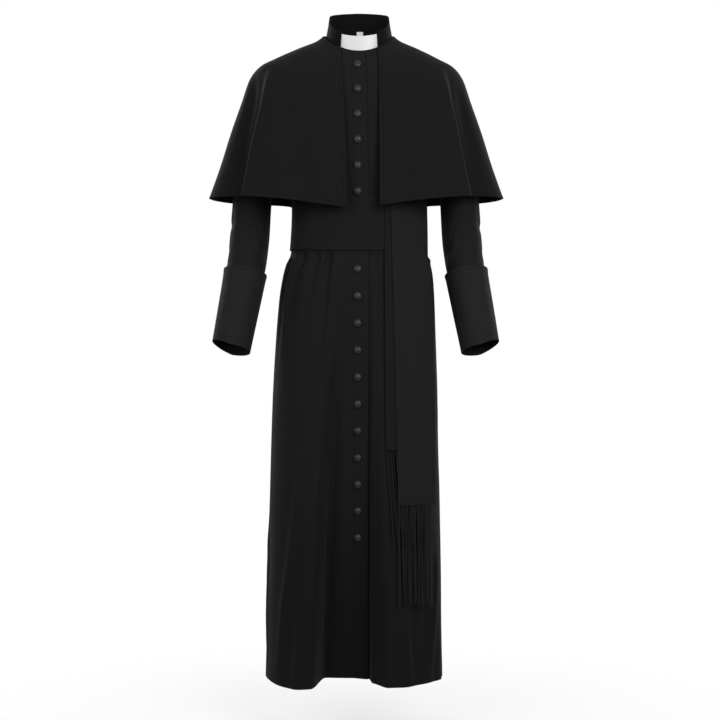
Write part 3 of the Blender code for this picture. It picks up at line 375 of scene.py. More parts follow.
class Profile:
    """A smooth line through a few sizes, which never swings past them."""

    def __init__(self, places, sizes):
        order = np.argsort(places)
        self.places = np.array(places, float)[order]
        self.sizes = np.array(sizes, float)[order]
        steps = np.diff(self.sizes) / np.diff(self.places)
        before, after = steps[:-1], steps[1:]
        total = np.where(before + after == 0, 1.0, before + after)
        inner = np.where(before * after <= 0, 0.0, 2 * before * after / total)
        self.slopes = np.concatenate([steps[:1], inner, steps[-1:]])

    def __call__(self, place):
        place = np.clip(place, self.places[0], self.places[-1])
        i = np.clip(np.searchsorted(self.places, place, side="right") - 1, 0, len(self.places) - 2)
        span = self.places[i + 1] - self.places[i]
        t = (place - self.places[i]) / span
        return (
            (1 + 2 * t) * (1 - t) ** 2 * self.sizes[i]
            + t * (1 - t) ** 2 * span * self.slopes[i]
            + t * t * (3 - 2 * t) * self.sizes[i + 1]
            + t * t * (t - 1) * span * self.slopes[i + 1]
        )


def eased(value, start, end):
    """0 before start, 1 after end, and smooth between them."""
    t = np.clip((value - start) / (end - start), 0.0, 1.0)
    return t * t * (3 - 2 * t)


def mix(a, b, share):
    return a + (b - a) * share


def by_height(pairs):
    return Profile([z for z, _ in pairs], [x for _, x in pairs])


def columns_of(rings):
    return [Profile(range(len(rings)), column) for column in zip(*rings)]


BODY = columns_of(BODY_RINGS)
CAPE = columns_of(CAPE_RINGS)
COLLAR = columns_of(COLLAR_RINGS)
ARM = columns_of(ARM_RINGS)
SKIRT = [Profile([ring[0] for ring in SKIRT_RINGS], column) for column in list(zip(*SKIRT_RINGS))[1:]]
closing_edge = by_height(CLOSING_EDGE)
trough_wall_start = by_height(TROUGH_WALL_START)
trough_wall_span = by_height(TROUGH_WALL_SPAN)


def sine(angle):
    return np.sin(np.radians(angle))


def cosine(angle):
    return np.cos(np.radians(angle))


def round_radius(angle, half_width, front, back, square):
    """Distance from the middle to a squared oval's edge, at an angle in degrees from the front."""
    depth = np.where(cosine(angle) > 0, front, back)
    across = (np.abs(sine(angle)) / half_width) ** square
    return (across + (np.abs(cosine(angle)) / depth) ** square) ** (-1 / square)


def bowed_height(angle, side, front, back, bow):
    c = cosine(angle)
    return side + (np.where(c > 0, front, back) - side) * np.abs(c) ** bow


def points(x, y, z):
    return np.stack(np.broadcast_arrays(x, y, z), axis=-1)


def polar(middle, angle, radius, height):
    return points(middle + radius * sine(angle), -radius * cosine(angle), height)


def fold_share(angle, centre, to_front, to_back):
    """How much of a fold's depth is felt at an angle: a soft bell, wider on one side."""
    away = (angle - centre + 180) % 360 - 180
    reach = np.where(away * centre < 0, to_front, to_back)
    return np.where(np.abs(away) < reach, np.cos(np.pi / 2 * away / reach) ** 2, 0.0)


def body_form(angle, row):
    z_side, z_front, z_back, width, front, back, square, bow = (size(row) for size in BODY)
    radius = round_radius(angle, width, front, back, square)
    return polar(0.0, angle, radius, bowed_height(angle, z_side, z_front, z_back, bow))


def cape_form(angle, row):
    z_side, z_front, z_back, width, front, back, square, bow, middle = (size(row) for size in CAPE)
    radius = round_radius(angle, width, front, back, square)
    for start, end, to_front, to_back, depth, row_start, row_end in CAPE_FOLDS:
        grown = np.clip((row - row_start) / (row_end - row_start), 0.0, 1.0)
        radius = radius - depth * grown * fold_share(angle, mix(start, end, grown), to_front, to_back)
    return polar(middle, angle, radius, bowed_height(angle, z_side, z_front, z_back, bow))


def collar_form(angle, row):
    z_side, z_front, z_back, width, front, back, square, bow, middle = (size(row) for size in COLLAR)
    radius = round_radius(angle, width, front, back, square)
    bow = np.where(cosine(angle) < 0, mix(bow, COLLAR_BACK_BOW, row), bow)
    return polar(middle, angle, radius, bowed_height(angle, z_side, z_front, z_back, bow))


def trough_depth(z):
    grown = np.clip((TROUGH_START - z) / (TROUGH_START - SKIRT_HEM), 0.0, 1.0)
    return TROUGH_DEPTH * grown**TROUGH_POWER


def skirt_form(angle, z, trough_share):
    """The skirt's outer face. trough_share is how much of the front trough is felt there."""
    middle, width, front, back = (size(z) for size in SKIRT)
    radius = round_radius(angle, width, front, back, SKIRT_SQUARE)
    for start, end, to_front, to_back, depth, z_start, z_full, z_fade, z_end in SKIRT_FOLDS:
        centre = mix(start, end, eased(z, z_start, min(z_end, SKIRT_HEM)))
        grown = eased(z, z_start, z_full) * (1 - eased(z, z_fade, z_end))
        radius = radius - depth * grown * fold_share(angle, centre, to_front, to_back)
    dip = SKIRT_FRONT_DIP * eased(z, SKIRT_LEVEL_AT, SKIRT_TOP)
    drop = LOBE_DROP * ((SKIRT_TOP - z) / (SKIRT_TOP - SKIRT_HEM)) ** 2
    height = z - dip * np.maximum(cosine(angle), 0.0) ** 2
    height = height - drop * fold_share(angle, LOBE_ANGLE, LOBE_REACH, LOBE_REACH)
    point = polar(middle, angle, radius, height)
    point[..., 1] += trough_depth(z) * trough_share
    return point


def edge_angle(z):
    """The angle of the closing edge on the skirt at a height."""
    return np.degrees(np.arctan2(closing_edge(z) - SKIRT[0](z), SKIRT[2](z)))


def right_trough(angle, z):
    start = trough_wall_start(z)
    wall_share = 1 - eased(-angle, start, start + trough_wall_span(z))
    return wall_share * mix(1.0, TROUGH_AT_EDGE, eased(angle, -2.0, edge_angle(z)))


def left_trough(angle, z):
    past = np.radians(angle - edge_angle(z)) * SKIRT[2](z)
    beyond = TROUGH_BEYOND_EDGE * (1 - eased(angle, edge_angle(z) + 2.0, TROUGH_END_ANGLE))
    under = right_trough(np.minimum(angle, edge_angle(z)), z)
    return mix(under, beyond, eased(past, EDGE_CLEAR, EDGE_TURN))


def right_skirt(angle, z):
    return skirt_form(angle, z, right_trough(angle, z))


def left_skirt(angle, z):
    point = skirt_form(angle, z, left_trough(angle, z))
    past = np.radians(angle - edge_angle(z)) * SKIRT[2](z)
    slack = OVERLAP_SLACK * trough_depth(z) / TROUGH_DEPTH
    point[..., 1] += (OVERLAP_STEP + slack) * (1 - eased(past, EDGE_CLEAR, EDGE_TURN))
    return point


def gap_angle(radius):
    return math.degrees(SEAM_GAP / radius)


def armhole_half(row):
    """Half the armhole's opening, in degrees, at a row between the shoulder tip and the armpit."""
    share = np.clip((row - TIP_ROW) / (ARMPIT_ROW - TIP_ROW), 0.0, 1.0)
    return ARMHOLE_ANGLE * np.maximum(np.sin(np.pi * share), 0.0) ** 0.55


def body_edge_angle(row):
    return np.degrees(np.arctan2(closing_edge(BODY[1](row)), BODY[4](row)))


def side_angle(row):
    return 90 - armhole_half(row) - np.degrees(SEAM_GAP / BODY[3](row)) / 2


def bodice_right(u, row):
    """u is 0 at the closing edge and 1 at the wearer's right side."""
    return body_form(mix(body_edge_angle(row), -side_angle(row), u), row)


def bodice_left(u, row):
    """u is 0 at the closing edge, less further under it, and 1 at the wearer's left side."""
    edge = body_edge_angle(row)
    angle = np.where(u > 0, mix(edge, side_angle(row), u), mix(edge, -side_angle(row), -u))
    point = body_form(angle, row)
    past = np.radians(angle - edge) * BODY[4](row)
    point[..., 1] += OVERLAP_STEP * (1 - eased(past, EDGE_CLEAR, EDGE_TURN))
    return point


def bodice_back(u, row):
    side = side_angle(row)
    return body_form(mix(180 - side, 180 + side, u), row)


def arm_middle(side, row):
    return points(ARM_MIDDLE + side * ARM[1](row), ARM[2](row), ARM[0](row))


def unit(vectors):
    return vectors / np.linalg.norm(vectors, axis=-1, keepdims=True)


def square_to(direction, down):
    return unit(direction - down * np.sum(direction * down, axis=-1, keepdims=True))


def arm_form(side, turn, row, clear=0.0):
    """The sleeve's face below the armpit, round the arm's path and square to it."""
    row = np.clip(row, 0.0, None)
    low, high = np.maximum(row - 0.05, 0.0), np.minimum(row + 0.05, len(ARM_RINGS) - 1.0)
    down = unit(arm_middle(side, high) - arm_middle(side, low))
    across = square_to(np.array([side, 0.0, 0.0]), down)
    forward = square_to(np.array([0.0, -1.0, 0.0]), down)
    out = ((ARM[3](row) + clear) * cosine(turn))[..., None]
    front = ((ARM[4](row) + clear) * sine(turn))[..., None]
    return arm_middle(side, row) + across * out + forward * front


def armhole_point(side, turn):
    """The armhole's edge on the body, less a seam gap all round."""
    around = sine(turn)
    row = mix(TIP_ROW, ARMPIT_ROW, (1 - cosine(turn)) / 2)
    half = armhole_half(row) * (1 - ARMHOLE_CLEAR) - gap_angle(ARMHOLE_GAP_RADIUS) * np.abs(around)
    row = mix(row, (TIP_ROW + ARMPIT_ROW) / 2, ARMHOLE_CLEAR)
    return body_form(side * (90 - np.copysign(np.maximum(half, 0.0), around)), row)


def sleeve_form(side, turn, row):
    """Rows from -1, the armhole, to 0, the bicep, are a soft cap; below that it follows the arm."""
    c, s = cosine(turn), sine(turn)
    corner = points(
        side * mix(SLEEVE_CORNER["in"], SLEEVE_CORNER["out"], (1 + c) / 2),
        SLEEVE_CORNER["y"] - SLEEVE_CORNER["depth"] * s,
        mix(SLEEVE_CORNER["z_under"], SLEEVE_CORNER["z_top"], (1 + c) / 2),
    )
    t = np.clip(row + 1, 0.0, 1.0)[..., None]
    cap = armhole_point(side, turn) * (1 - t) ** 2 + corner * 2 * t * (1 - t)
    cap = cap + arm_form(side, turn, np.zeros_like(row)) * t * t
    return np.where(row[..., None] < 0, cap, arm_form(side, turn, row))


def row_at_front(z):
    heights = BODY[1](np.linspace(0, len(BODY_RINGS) - 1, 400))
    return np.interp(-z, -heights, np.linspace(0, len(BODY_RINGS) - 1, 400))


def front_section(z):
    """Sideways middle, half width and front depth of the body or skirt at a height in front."""
    row = row_at_front(z)
    low = z + SKIRT_FRONT_DIP * eased(z, SKIRT_LEVEL_AT, SKIRT_TOP)
    on_body = z > SKIRT_TOP - SKIRT_FRONT_DIP
    return (
        np.where(on_body, 0.0, SKIRT[0](low)),
        np.where(on_body, BODY[3](row), SKIRT[1](low)),
        np.where(on_body, BODY[4](row), SKIRT[2](low)),
    )


def front_y(x, z):
    middle, width, front = front_section(z)
    share = np.minimum(np.abs(x - middle) / width, 0.96)
    return -front * (1 - share**SKIRT_SQUARE) ** (1 / SKIRT_SQUARE)


def hang_y(x, z, start):
    """The sheet that both falls hang on: it touches the front at start, and leaves it sideways."""
    at_start = front_y(start, z)
    slope = (front_y(start + 0.001, z) - front_y(start - 0.001, z)) / 0.002
    straight = at_start + slope * (x - start)
    hug = mix(FALL_HUG_TOP, FALL_HUG, eased(z, FALL_HUG_FROM, FALL_HUG_TO))
    return mix(straight, front_y(x, z), hug)


def fall_form(fall, drift=0.0, narrow=0.0, lift=0.0):
    left, right = by_height(fall["left"]), by_height(fall["right"])
    start = by_height(FALLS["sash_fall_back"]["left"])

    def form(u, z):
        down = np.maximum(fall["end"] - z, 0.0) / 0.2
        x = mix(left(z) + (drift + narrow / 2) * down, right(z) + (drift - narrow / 2) * down, u)
        return points(x, hang_y(x, z, start(z)) - lift * down, z)

    return form


def label_form(u, v):
    x, y, z = LABEL_MIDDLE
    width, height = LABEL_SIZE
    return points(x + (u - 0.5) * width, y + 0.0004 * (1 - (2 * u - 1) ** 2), z + (0.5 - v) * height)


def rounded_collar(u, v):
    gap = mix(COLLAR_GAP_BASE, COLLAR_GAP_TOP, v)
    angle = mix(gap, 360 - gap, u)
    point = collar_form(angle, v)
    from_end = np.minimum(angle - gap, 360 - gap - angle)
    share = np.clip(1 - from_end / COLLAR_CORNER, 0.0, 1.0)
    point[..., 2] -= COLLAR_CORNER_DROP * v * (1 - np.sqrt(1 - 0.999 * share**2))
    return point


def insert_form(u, v):
    angle = mix(-INSERT_REACH, INSERT_REACH, u)
    top = INSERT_TOP - INSERT_DIP * cosine(2 * angle)
    return collar_form(angle, mix(INSERT_BASE, top, v))


def skirt_right(u, z):
    """u is 0 at the closing edge and 1 at the side seam."""
    return right_skirt(mix(edge_angle(z), -90 + gap_angle(SKIRT_SEAM_RADIUS) / 2, u), z)


def skirt_left(u, z):
    """u is -1 at the hidden edge, 0 under the closing edge, 1 past the step and 2 at the side seam."""
    edge = edge_angle(z)
    turned = edge + np.degrees(EDGE_TURN / SKIRT[2](z))
    under = mix(edge, SKIRT_HIDDEN_EDGE, -u)
    stepping = mix(edge, turned, u)
    beyond = mix(turned, 90 - gap_angle(SKIRT_SEAM_RADIUS) / 2, u - 1)
    return left_skirt(np.where(u < 0, under, np.where(u < 1, stepping, beyond)), z)


def skirt_back(u, z):
    half_gap = gap_angle(SKIRT_SEAM_RADIUS) / 2
    return skirt_form(mix(90 + half_gap, 270 - half_gap, u), z, 0.0)


def cape_edge(profile, row):
    return np.degrees(np.arctan2(profile(CAPE[1](row)) - CAPE[8](row), CAPE[4](row)))


def cape_right(u, row):
    seam = -90 + gap_angle(CAPE_SEAM_RADIUS) / 2
    return cape_form(mix(cape_edge(by_height(CAPE_EDGE_RIGHT), row), seam, u), row)


def cape_left(u, row):
    seam = 90 - gap_angle(CAPE_SEAM_RADIUS) / 2
    return cape_form(mix(cape_edge(by_height(CAPE_EDGE_LEFT), row), seam, u), row)


def cape_behind(u, row):
    half_gap = gap_angle(CAPE_SEAM_RADIUS) / 2
    return cape_form(mix(90 + half_gap, 270 - half_gap, u), row)


def sleeve_half(side, seam):
    half_gap = gap_angle(ARM_RINGS[0][4]) / 2
    return lambda u, row: sleeve_form(side, seam + mix(half_gap, 180 - half_gap, u), row)


def cuff_form(side):
    def form(turn, row):
        share = (row - CUFF_TOP_ROW) / (CUFF_END_ROW - CUFF_TOP_ROW)
        slant = CUFF_SLANT * share * np.maximum(cosine(turn), 0.0)
        return arm_form(side, turn, row - slant, mix(CUFF_CLEAR_TOP, CUFF_CLEAR_END, share) + CLOTH)

    return form


# Sheets of cloth

def arc(places, axis):
    """Distance along the cloth from its first line, measured over the points."""
    steps = np.linalg.norm(np.diff(places, axis=axis), axis=-1)
    start = np.zeros_like(steps[:, :1]) if axis == 1 else np.zeros_like(steps[:1])
    return np.concatenate([start, np.cumsum(steps, axis=axis)], axis=axis)


def even(form, start, end, across, others, spacing=GRID):
    """Stations along u (across) or v that lie about a spacing apart on the cloth."""
    fine = np.linspace(start, end, 600)
    other = np.array(others, float)
    u, v = np.meshgrid(fine, other) if across else np.meshgrid(other, fine)
    length = arc(form(u, v), 1 if across else 0)
    length = length.mean(axis=0 if across else 1)
    return np.interp(np.linspace(0, length[-1], round(length[-1] / spacing) + 1), length, fine)


def bell(away):
    return np.exp(-(away**2))


def waves(across, down, seed):
    """A soft uneven surface, from -1 to 1, that never repeats in step across and down."""
    a, b = seed * 1.7, seed * 2.3
    return (
        0.45 * np.sin(across * 29 + down * 7 + a) * np.cos(down * 17 - across * 4 + b)
        + 0.35 * np.sin(across * 52 - down * 11 + b) * np.cos(down * 31 + a)
        + 0.20 * np.sin(across * 83 + down * 23 + a + b) * np.cos(down * 61 - across * 13)
    )


def pressed(creases, across, down):
    """How far the creases move the cloth out: each is a soft line through its places, which runs
    mostly down or mostly across, and fades at both ends."""
    moved = np.zeros_like(across)
    for places, half_width, depth in creases:
        sides, heights = np.array(places, float).T
        if abs(heights[-1] - heights[0]) >= abs(sides[-1] - sides[0]):
            runs, offs, along, off = heights, sides, down, across
        else:
            runs, offs, along, off = sides, heights, across, down
        line = Profile(runs, offs)
        slope = (line(along + 0.004) - line(along - 0.004)) / 0.008
        aside = (off - line(along)) / np.sqrt(1 + slope**2)
        share = (along - runs[0]) / (runs[-1] - runs[0])
        taper = eased(share, -0.02, 0.24) * (1 - eased(share, 0.60, 1.02))
        moved = moved - depth * bell(aside / half_width) * taper
    return moved


def grid_normals(places, closed):
    if closed:
        around = np.roll(places, -1, axis=1) - np.roll(places, 1, axis=1)
    else:
        around = np.gradient(places, axis=1)
    normals = np.cross(around, np.gradient(places, axis=0))
    return normals / np.maximum(np.linalg.norm(normals, axis=-1, keepdims=True), 1e-12)


def shell(
    name, form, us, vs, lift=0.0, thick=CLOTH, closed=False, soft=0.0, creases=(),
    still=(0.03, 0.03, 0.03, 0.03), hems=(), facing=None,
):
    """A closed thin sheet: its outer face is the form, moved out by lift, with its creases, soft
    waves and turned hems. still holds how far from the first, last, top and bottom edge the cloth
    lies flat, and hems the turned edges: which edge, how wide and how thick."""
    u, v = np.meshgrid(us, vs)
    places = form(u, v)
    normals = grid_normals(places, closed)
    if facing is None:
        turned = np.sum(normals * (places - places.mean(axis=1, keepdims=True)))
    else:
        turned = np.sum(normals * facing)
    normals = normals * math.copysign(1.0, turned)
    across, down = arc(places, 1), arc(places, 0)
    edges = {
        "first": across,
        "last": across[:, -1:] - across,
        "top": down,
        "bottom": down[-1:] - down,
    }
    calm = np.ones_like(across)
    for edge, reach in zip(edges, still):
        if reach and not (closed and edge in ("first", "last")):
            calm = calm * eased(edges[edge], 0.2 * reach, reach)
    if closed:
        turn = 2 * np.pi * across / (across[:, -1:] + np.linalg.norm(places[:, :1] - places[:, -1:], axis=-1))
        wavy = waves(np.sin(turn) * 0.06, down, len(name)) + waves(np.cos(turn) * 0.06, down, len(name) + 3)
    else:
        wavy = waves(across, down, len(name))
    moved = calm * (soft * wavy + pressed(creases, across, down))
    for edge, width, extra in hems:
        moved = moved + extra * (1 - eased(edges[edge], width - 0.0012, width + 0.0012))
    outer = places + normals * (lift + moved)[..., None]
    inner = outer - normals * thick
    rows, columns = across.shape
    index = np.arange(rows * columns).reshape(rows, columns)
    beyond = np.roll(index, -1, axis=1) if closed else index[:, 1:]
    here = index if closed else index[:, :-1]
    under = rows * columns

    def quads(a, b, c, d):
        return np.stack([a, b, c, d], axis=-1).reshape(-1, 4)

    face = quads(here[:-1], beyond[:-1], beyond[1:], here[1:])
    faces = [face, quads(here[:-1], here[1:], beyond[1:], beyond[:-1]) + under]
    faces.append(quads(here[0], here[0] + under, beyond[0] + under, beyond[0]))
    faces.append(quads(here[-1], beyond[-1], beyond[-1] + under, here[-1] + under))
    if not closed:
        faces.append(quads(index[:-1, 0], index[1:, 0], index[1:, 0] + under, index[:-1, 0] + under))
        faces.append(quads(index[:-1, -1], index[:-1, -1] + under, index[1:, -1] + under, index[1:, -1]))
    faces = np.concatenate(faces)
    if np.sum(np.cross(outer[0, 1] - outer[0, 0], outer[1, 0] - outer[0, 0]) * normals[0, 0]) < 0:
        faces = faces[:, ::-1]
    vertices = np.concatenate([outer.reshape(-1, 3), inner.reshape(-1, 3)])
    mesh = bpy.data.meshes.new(name + "_cloth")
    mesh.from_pydata(vertices.tolist(), [], faces.tolist())
    corners = np.empty(len(mesh.loops), np.int64)
    mesh.loops.foreach_get("vertex_index", corners)
    corners = corners % under
    maps = {
        "Cloth": (across, down),
        "Sides": (edges["first"], edges["last"]),
        "Ends": (edges["top"], edges["bottom"]),
    }
    for title, (x, y) in maps.items():
        layer = mesh.uv_layers.new(name=title)
        spots = np.stack([x.reshape(-1)[corners], y.reshape(-1)[corners]], axis=-1)
        layer.data.foreach_set("uv", spots.ravel())
    mesh.shade_smooth()
    mesh.set_sharp_from_angle(angle=math.radians(55))
    obj = bpy.data.objects.new(name + "_cloth", mesh)
    bpy.context.scene.collection.objects.link(obj)
    return obj


# Materials

class Wire:
    """One value in a material. Numbers and other wires can be added to it, taken from it and so on."""

    def __init__(self, tree, socket):
        self.tree = tree
        self.socket = socket

    def node(self, kind, settings, values, output=0):
        made = self.tree.nodes.new(kind)
        for setting, value in settings.items():
            setattr(made, setting, value)
        for key, value in values.items():
            if isinstance(value, Wire):
                self.tree.links.new(value.socket, made.inputs[key])
            else:
                made.inputs[key].default_value = value
        return Wire(self.tree, made.outputs[output])

    def math(self, operation, *others):
        return self.node("ShaderNodeMath", {"operation": operation}, dict(enumerate((self, *others))))

    def __add__(self, other):
        return self.math("ADD", other)

    def __sub__(self, other):
        return self.math("SUBTRACT", other)

    def __mul__(self, other):
        return self.math("MULTIPLY", other)

    def __truediv__(self, other):
        return self.math("DIVIDE", other)

    def __radd__(self, other):
        return self + other

    def __rsub__(self, other):
        return self * -1.0 + other

    def __rmul__(self, other):
        return self * other

    def between(self, low, high):
        """0 below low and 1 above high, smooth between."""
        ends = {"From Min": low, "From Max": high, "Value": self}
        return self.node("ShaderNodeMapRange", {"interpolation_type": "SMOOTHSTEP"}, ends)

    def near(self, place, reach):
        """1 at a place and 0 beyond a reach from it."""
        return 1.0 - (self - place).math("ABSOLUTE").between(0.0, reach)


class Finish:
    """A material being wired: its tree, its shader and the coordinates that it can read."""

    def __init__(self, name):
        self.material = bpy.data.materials.new(name)
        self.material.use_nodes = True
        self.tree = self.material.node_tree
        self.shader = self.tree.nodes["Principled BSDF"]
        self.start = Wire(self.tree, None)

    def uv(self, title):
        both = self.start.node("ShaderNodeUVMap", {"uv_map": title}, {})
        parts = self.tree.nodes.new("ShaderNodeSeparateXYZ")
        self.tree.links.new(both.socket, parts.inputs[0])
        return Wire(self.tree, parts.outputs[0]), Wire(self.tree, parts.outputs[1])

    def place(self):
        return self.start.node("ShaderNodeTexCoord", {}, {}, "Object")

    def noise(self, scale, detail=2.0):
        values = {"Vector": self.place(), "Scale": scale, "Detail": detail}
        return self.start.node("ShaderNodeTexNoise", {}, values)

    def set(self, **values):
        for key, value in values.items():
            socket = self.shader.inputs[key.replace("_", " ")]
            if isinstance(value, Wire):
                self.tree.links.new(value.socket, socket)
            else:
                socket.default_value = value

    def grey(self, value):
        """The wire of a grey of that lightness, as a colour."""
        return self.start.node("ShaderNodeCombineColor", {}, {0: value, 1: value, 2: value})

    def tinted(self, value, tint):
        colours = {0: value * tint[0], 1: value * tint[1], 2: value * tint[2]}
        return self.start.node("ShaderNodeCombineColor", {}, colours)

    def bump(self, height, strength=1.0):
        values = {"Strength": strength, "Distance": 1.0, "Height": height}
        self.set(Normal=self.start.node("ShaderNodeBump", {}, values))


def twill(name, shade, stitches=(), lower_painted_shade=0.0):
    """Black wool twill: fine slanting ribs, an uneven nap and the piece's own rows of stitching, whose sunken
    lines are darkened by painted shade and whose stitches are lightened by a painted sheen. Its lower part is
    darkened by painted shade, by the share given in the last argument."""
    finish = Finish(name)
    u, v = finish.uv("Cloth")
    first, last = finish.uv("Sides")
    top, bottom = finish.uv("Ends")
    edges = {"first": (first, v), "last": (last, v), "top": (top, u), "bottom": (bottom, u)}
    slant = (u + v * 0.55) * (2 * math.pi / TWILL_RIB)
    ribs = slant.math("SINE")
    yarn = finish.noise(900.0)
    patch = finish.noise(7.0, 3.0)
    nap = finish.noise(60.0, 3.0)
    # Painted shade: the cloth grows darker from 0.40 m to 0.85 m down from its top, for the light that falls
    # off lower down
    tone = (0.86 + patch * 0.16 + nap * 0.12) * (1.0 - v.between(0.40, 0.85) * lower_painted_shade)
    height = ribs * 0.00002 + yarn * 0.00003 + nap * 0.00006
    for edge, distance, strength in stitches:
        away, along = edges[edge]
        shaded_groove = away.near(distance, STITCH_GROOVE) * strength
        stitched = (along * (2 * math.pi / STITCH_LENGTH)).math("SINE").between(-0.2, 0.5)
        sheened_thread = away.near(distance, STITCH_WIDTH) * stitched
        # Painted shade darkens the sunken line of each row of stitching, and a painted sheen lightens its
        # stitches
        tone = tone * (1.0 - shaded_groove * 0.45) + sheened_thread * strength * 0.35
        height = height - shaded_groove * 0.00035 + sheened_thread * strength * 0.00022
    finish.set(Base_Color=finish.tinted(tone * shade, (1.0, 0.985, 0.99)))
    finish.set(Roughness=TWILL_ROUGHNESS + nap * 0.12)
    finish.set(Specular_IOR_Level=0.12, Sheen_Weight=TWILL_SHEEN, Sheen_Roughness=0.45)
    finish.bump(height)
    return finish.material


def corded_black():
    finish = Finish("fringe_cord")
    strand = finish.noise(1500.0, 2.0)
    patch = finish.noise(40.0)
    finish.set(Base_Color=finish.grey(0.0018 + strand * 0.006 + patch * 0.001), Roughness=0.40 + strand * 0.2)
    finish.set(Specular_IOR_Level=0.30, Sheen_Weight=0.0)
    finish.bump(strand * 0.00012)
    return finish.material


def satin_button():
    finish = Finish("button_satin")
    weave = finish.noise(1400.0, 2.0)
    patch = finish.noise(120.0)
    finish.set(Base_Color=finish.grey(0.011 + patch * 0.008), Roughness=0.40 + weave * 0.14)
    finish.set(Specular_IOR_Level=0.42, Sheen_Weight=0.06)
    finish.bump(weave * 0.00006)
    return finish.material


def white_plastic():
    finish = Finish("white_insert")
    cloud = finish.noise(35.0)
    grain = finish.noise(700.0)
    finish.set(Base_Color=finish.tinted(0.70 + cloud * 0.05, (1.0, 0.995, 0.985)))
    finish.set(Roughness=0.34 + cloud * 0.10)
    finish.bump(grain * 0.00003)
    return finish.material


def label_tape():
    finish = Finish("label_white")
    u, v = finish.uv("Cloth")
    warp = (u * (2 * math.pi / 0.0006)).math("SINE")
    weft = (v * (2 * math.pi / 0.0005)).math("SINE")
    cloud = finish.noise(150.0)
    finish.set(Base_Color=finish.tinted(0.80 + cloud * 0.06, (1.0, 0.99, 0.97)), Roughness=0.75 + cloud * 0.1)
    finish.bump(warp * weft * 0.00004)
    return finish.material


# Putting the pieces in

def put(obj, node, material):
    obj.data.materials.append(material)
    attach(obj, "root")
    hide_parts(node)


def cloth(node, form, us, vs, shade, stitches=(), lower_painted_shade=0.0, creases=None, **settings):
    """A cloth piece with its own creases, unless others are given, and its twill."""
    own = CREASES.get(node, ()) if creases is None else creases
    obj = shell(node, form, us, vs, creases=own, **settings)
    put(obj, node, twill("black_twill_" + node, shade, stitches, lower_painted_shade=lower_painted_shade))
    return obj


def make_bodice():
    turns = np.linspace(0, np.pi, 44)
    hole = mix(TIP_ROW, ARMPIT_ROW, (1 - np.cos(turns)) / 2)
    above = even(bodice_right, 0, TIP_ROW, False, ROWS_MAIN)
    below = even(bodice_right, ARMPIT_ROW, SEAM_ROW, False, ROWS_MAIN)
    rows = np.unique(np.round(np.concatenate([above, hole, below]), 9))
    across = (1.0, 3.0, 8.0)
    right = even(bodice_right, 0, 1, True, across)
    left = np.unique(np.concatenate([
        even(bodice_left, -0.15, 0, True, across),
        np.linspace(0, 0.08, 9),
        even(bodice_left, 0.08, 1, True, across),
    ]))
    cloth(
        "bodice_front_right", bodice_right, right, rows, SHADE, [("first", 0.030, 0.7)],
        soft=0.0005, still=(0.05, 0.04, 0.04, 0.05),
    )
    cloth(
        "bodice_front_left", bodice_left, left, rows, SHADE,
        soft=0.0005, still=(0.09, 0.04, 0.04, 0.05),
    )
    cloth(
        "bodice_back", bodice_back, even(bodice_back, 0, 1, True, across), rows, SHADE,
        soft=0.0006, still=(0.04, 0.04, 0.04, 0.05),
    )


def make_sleeves():
    for side_name, side in (("right", -1), ("left", 1)):
        for half, seam in (("top", SLEEVE_SEAM - 180), ("under", SLEEVE_SEAM)):
            node = f"sleeve_{side_name}_{half}"
            form = sleeve_half(side, seam)
            us = even(form, 0, 1, True, (0.5, 2.0, 4.0))
            vs = even(form, -1, SLEEVE_END_ROW, False, ROWS_MAIN)
            cloth(
                node, form, us, vs, SHADE * PAINTED_LIGHT_BY_PIECE["sleeve"],
                soft=0.0008, creases=CREASES["sleeve_" + half], still=(0.02, 0.02, 0.05, 0.16),
            )
        node = "cuff_" + side_name
        form = cuff_form(side)
        us = even(form, 0, 360, True, (4.0, 4.8))[:-1]
        vs = even(form, CUFF_TOP_ROW, CUFF_END_ROW, False, (0.0, 90.0, 180.0))
        cloth(
            node, form, us, vs, SHADE * PAINTED_LIGHT_BY_PIECE["cuff"], [("bottom", 0.015, 0.8), ("top", 0.007, 0.5)],
            soft=0.0003, creases=CREASES["cuff"], still=(0, 0, 0.01, 0.01), closed=True,
            hems=[("top", 0.006, 0.0004)],
        )


def make_skirt():
    heights = (-0.6, -0.9, -1.2)
    middle = (0.3, 0.6, 0.9)
    zs = even(skirt_right, SKIRT_TOP, SKIRT_HEM, False, middle)
    top_stitch, hem_stitch = ("top", 0.0108, 0.8), ("bottom", 0.030, 0.35)
    cloth(
        "skirt_front_right", skirt_right, even(skirt_right, 0, 1, True, heights), zs, SHADE,
        [top_stitch, hem_stitch, ("first", 0.030, 0.6)],
        soft=0.0008, lower_painted_shade=SKIRT_PAINTED_SHADE,
        still=(0.05, 0.02, 0.014, 0.0),
    )
    left = np.unique(np.concatenate([
        even(skirt_left, -1, 0, True, heights),
        np.linspace(0, 1, 9),
        even(skirt_left, 1, 2, True, heights),
    ]))
    cloth(
        "skirt_front_left", skirt_left, left, zs, SHADE, [top_stitch, hem_stitch],
        soft=0.0008, lower_painted_shade=SKIRT_PAINTED_SHADE,
        still=(0.04, 0.02, 0.014, 0.0),
    )
    cloth(
        "skirt_back", skirt_back, even(skirt_back, 0, 1, True, heights), zs, SHADE, [top_stitch, hem_stitch],
        soft=0.0009, lower_painted_shade=SKIRT_PAINTED_SHADE,
        still=(0.02, 0.02, 0.014, 0.0),
    )


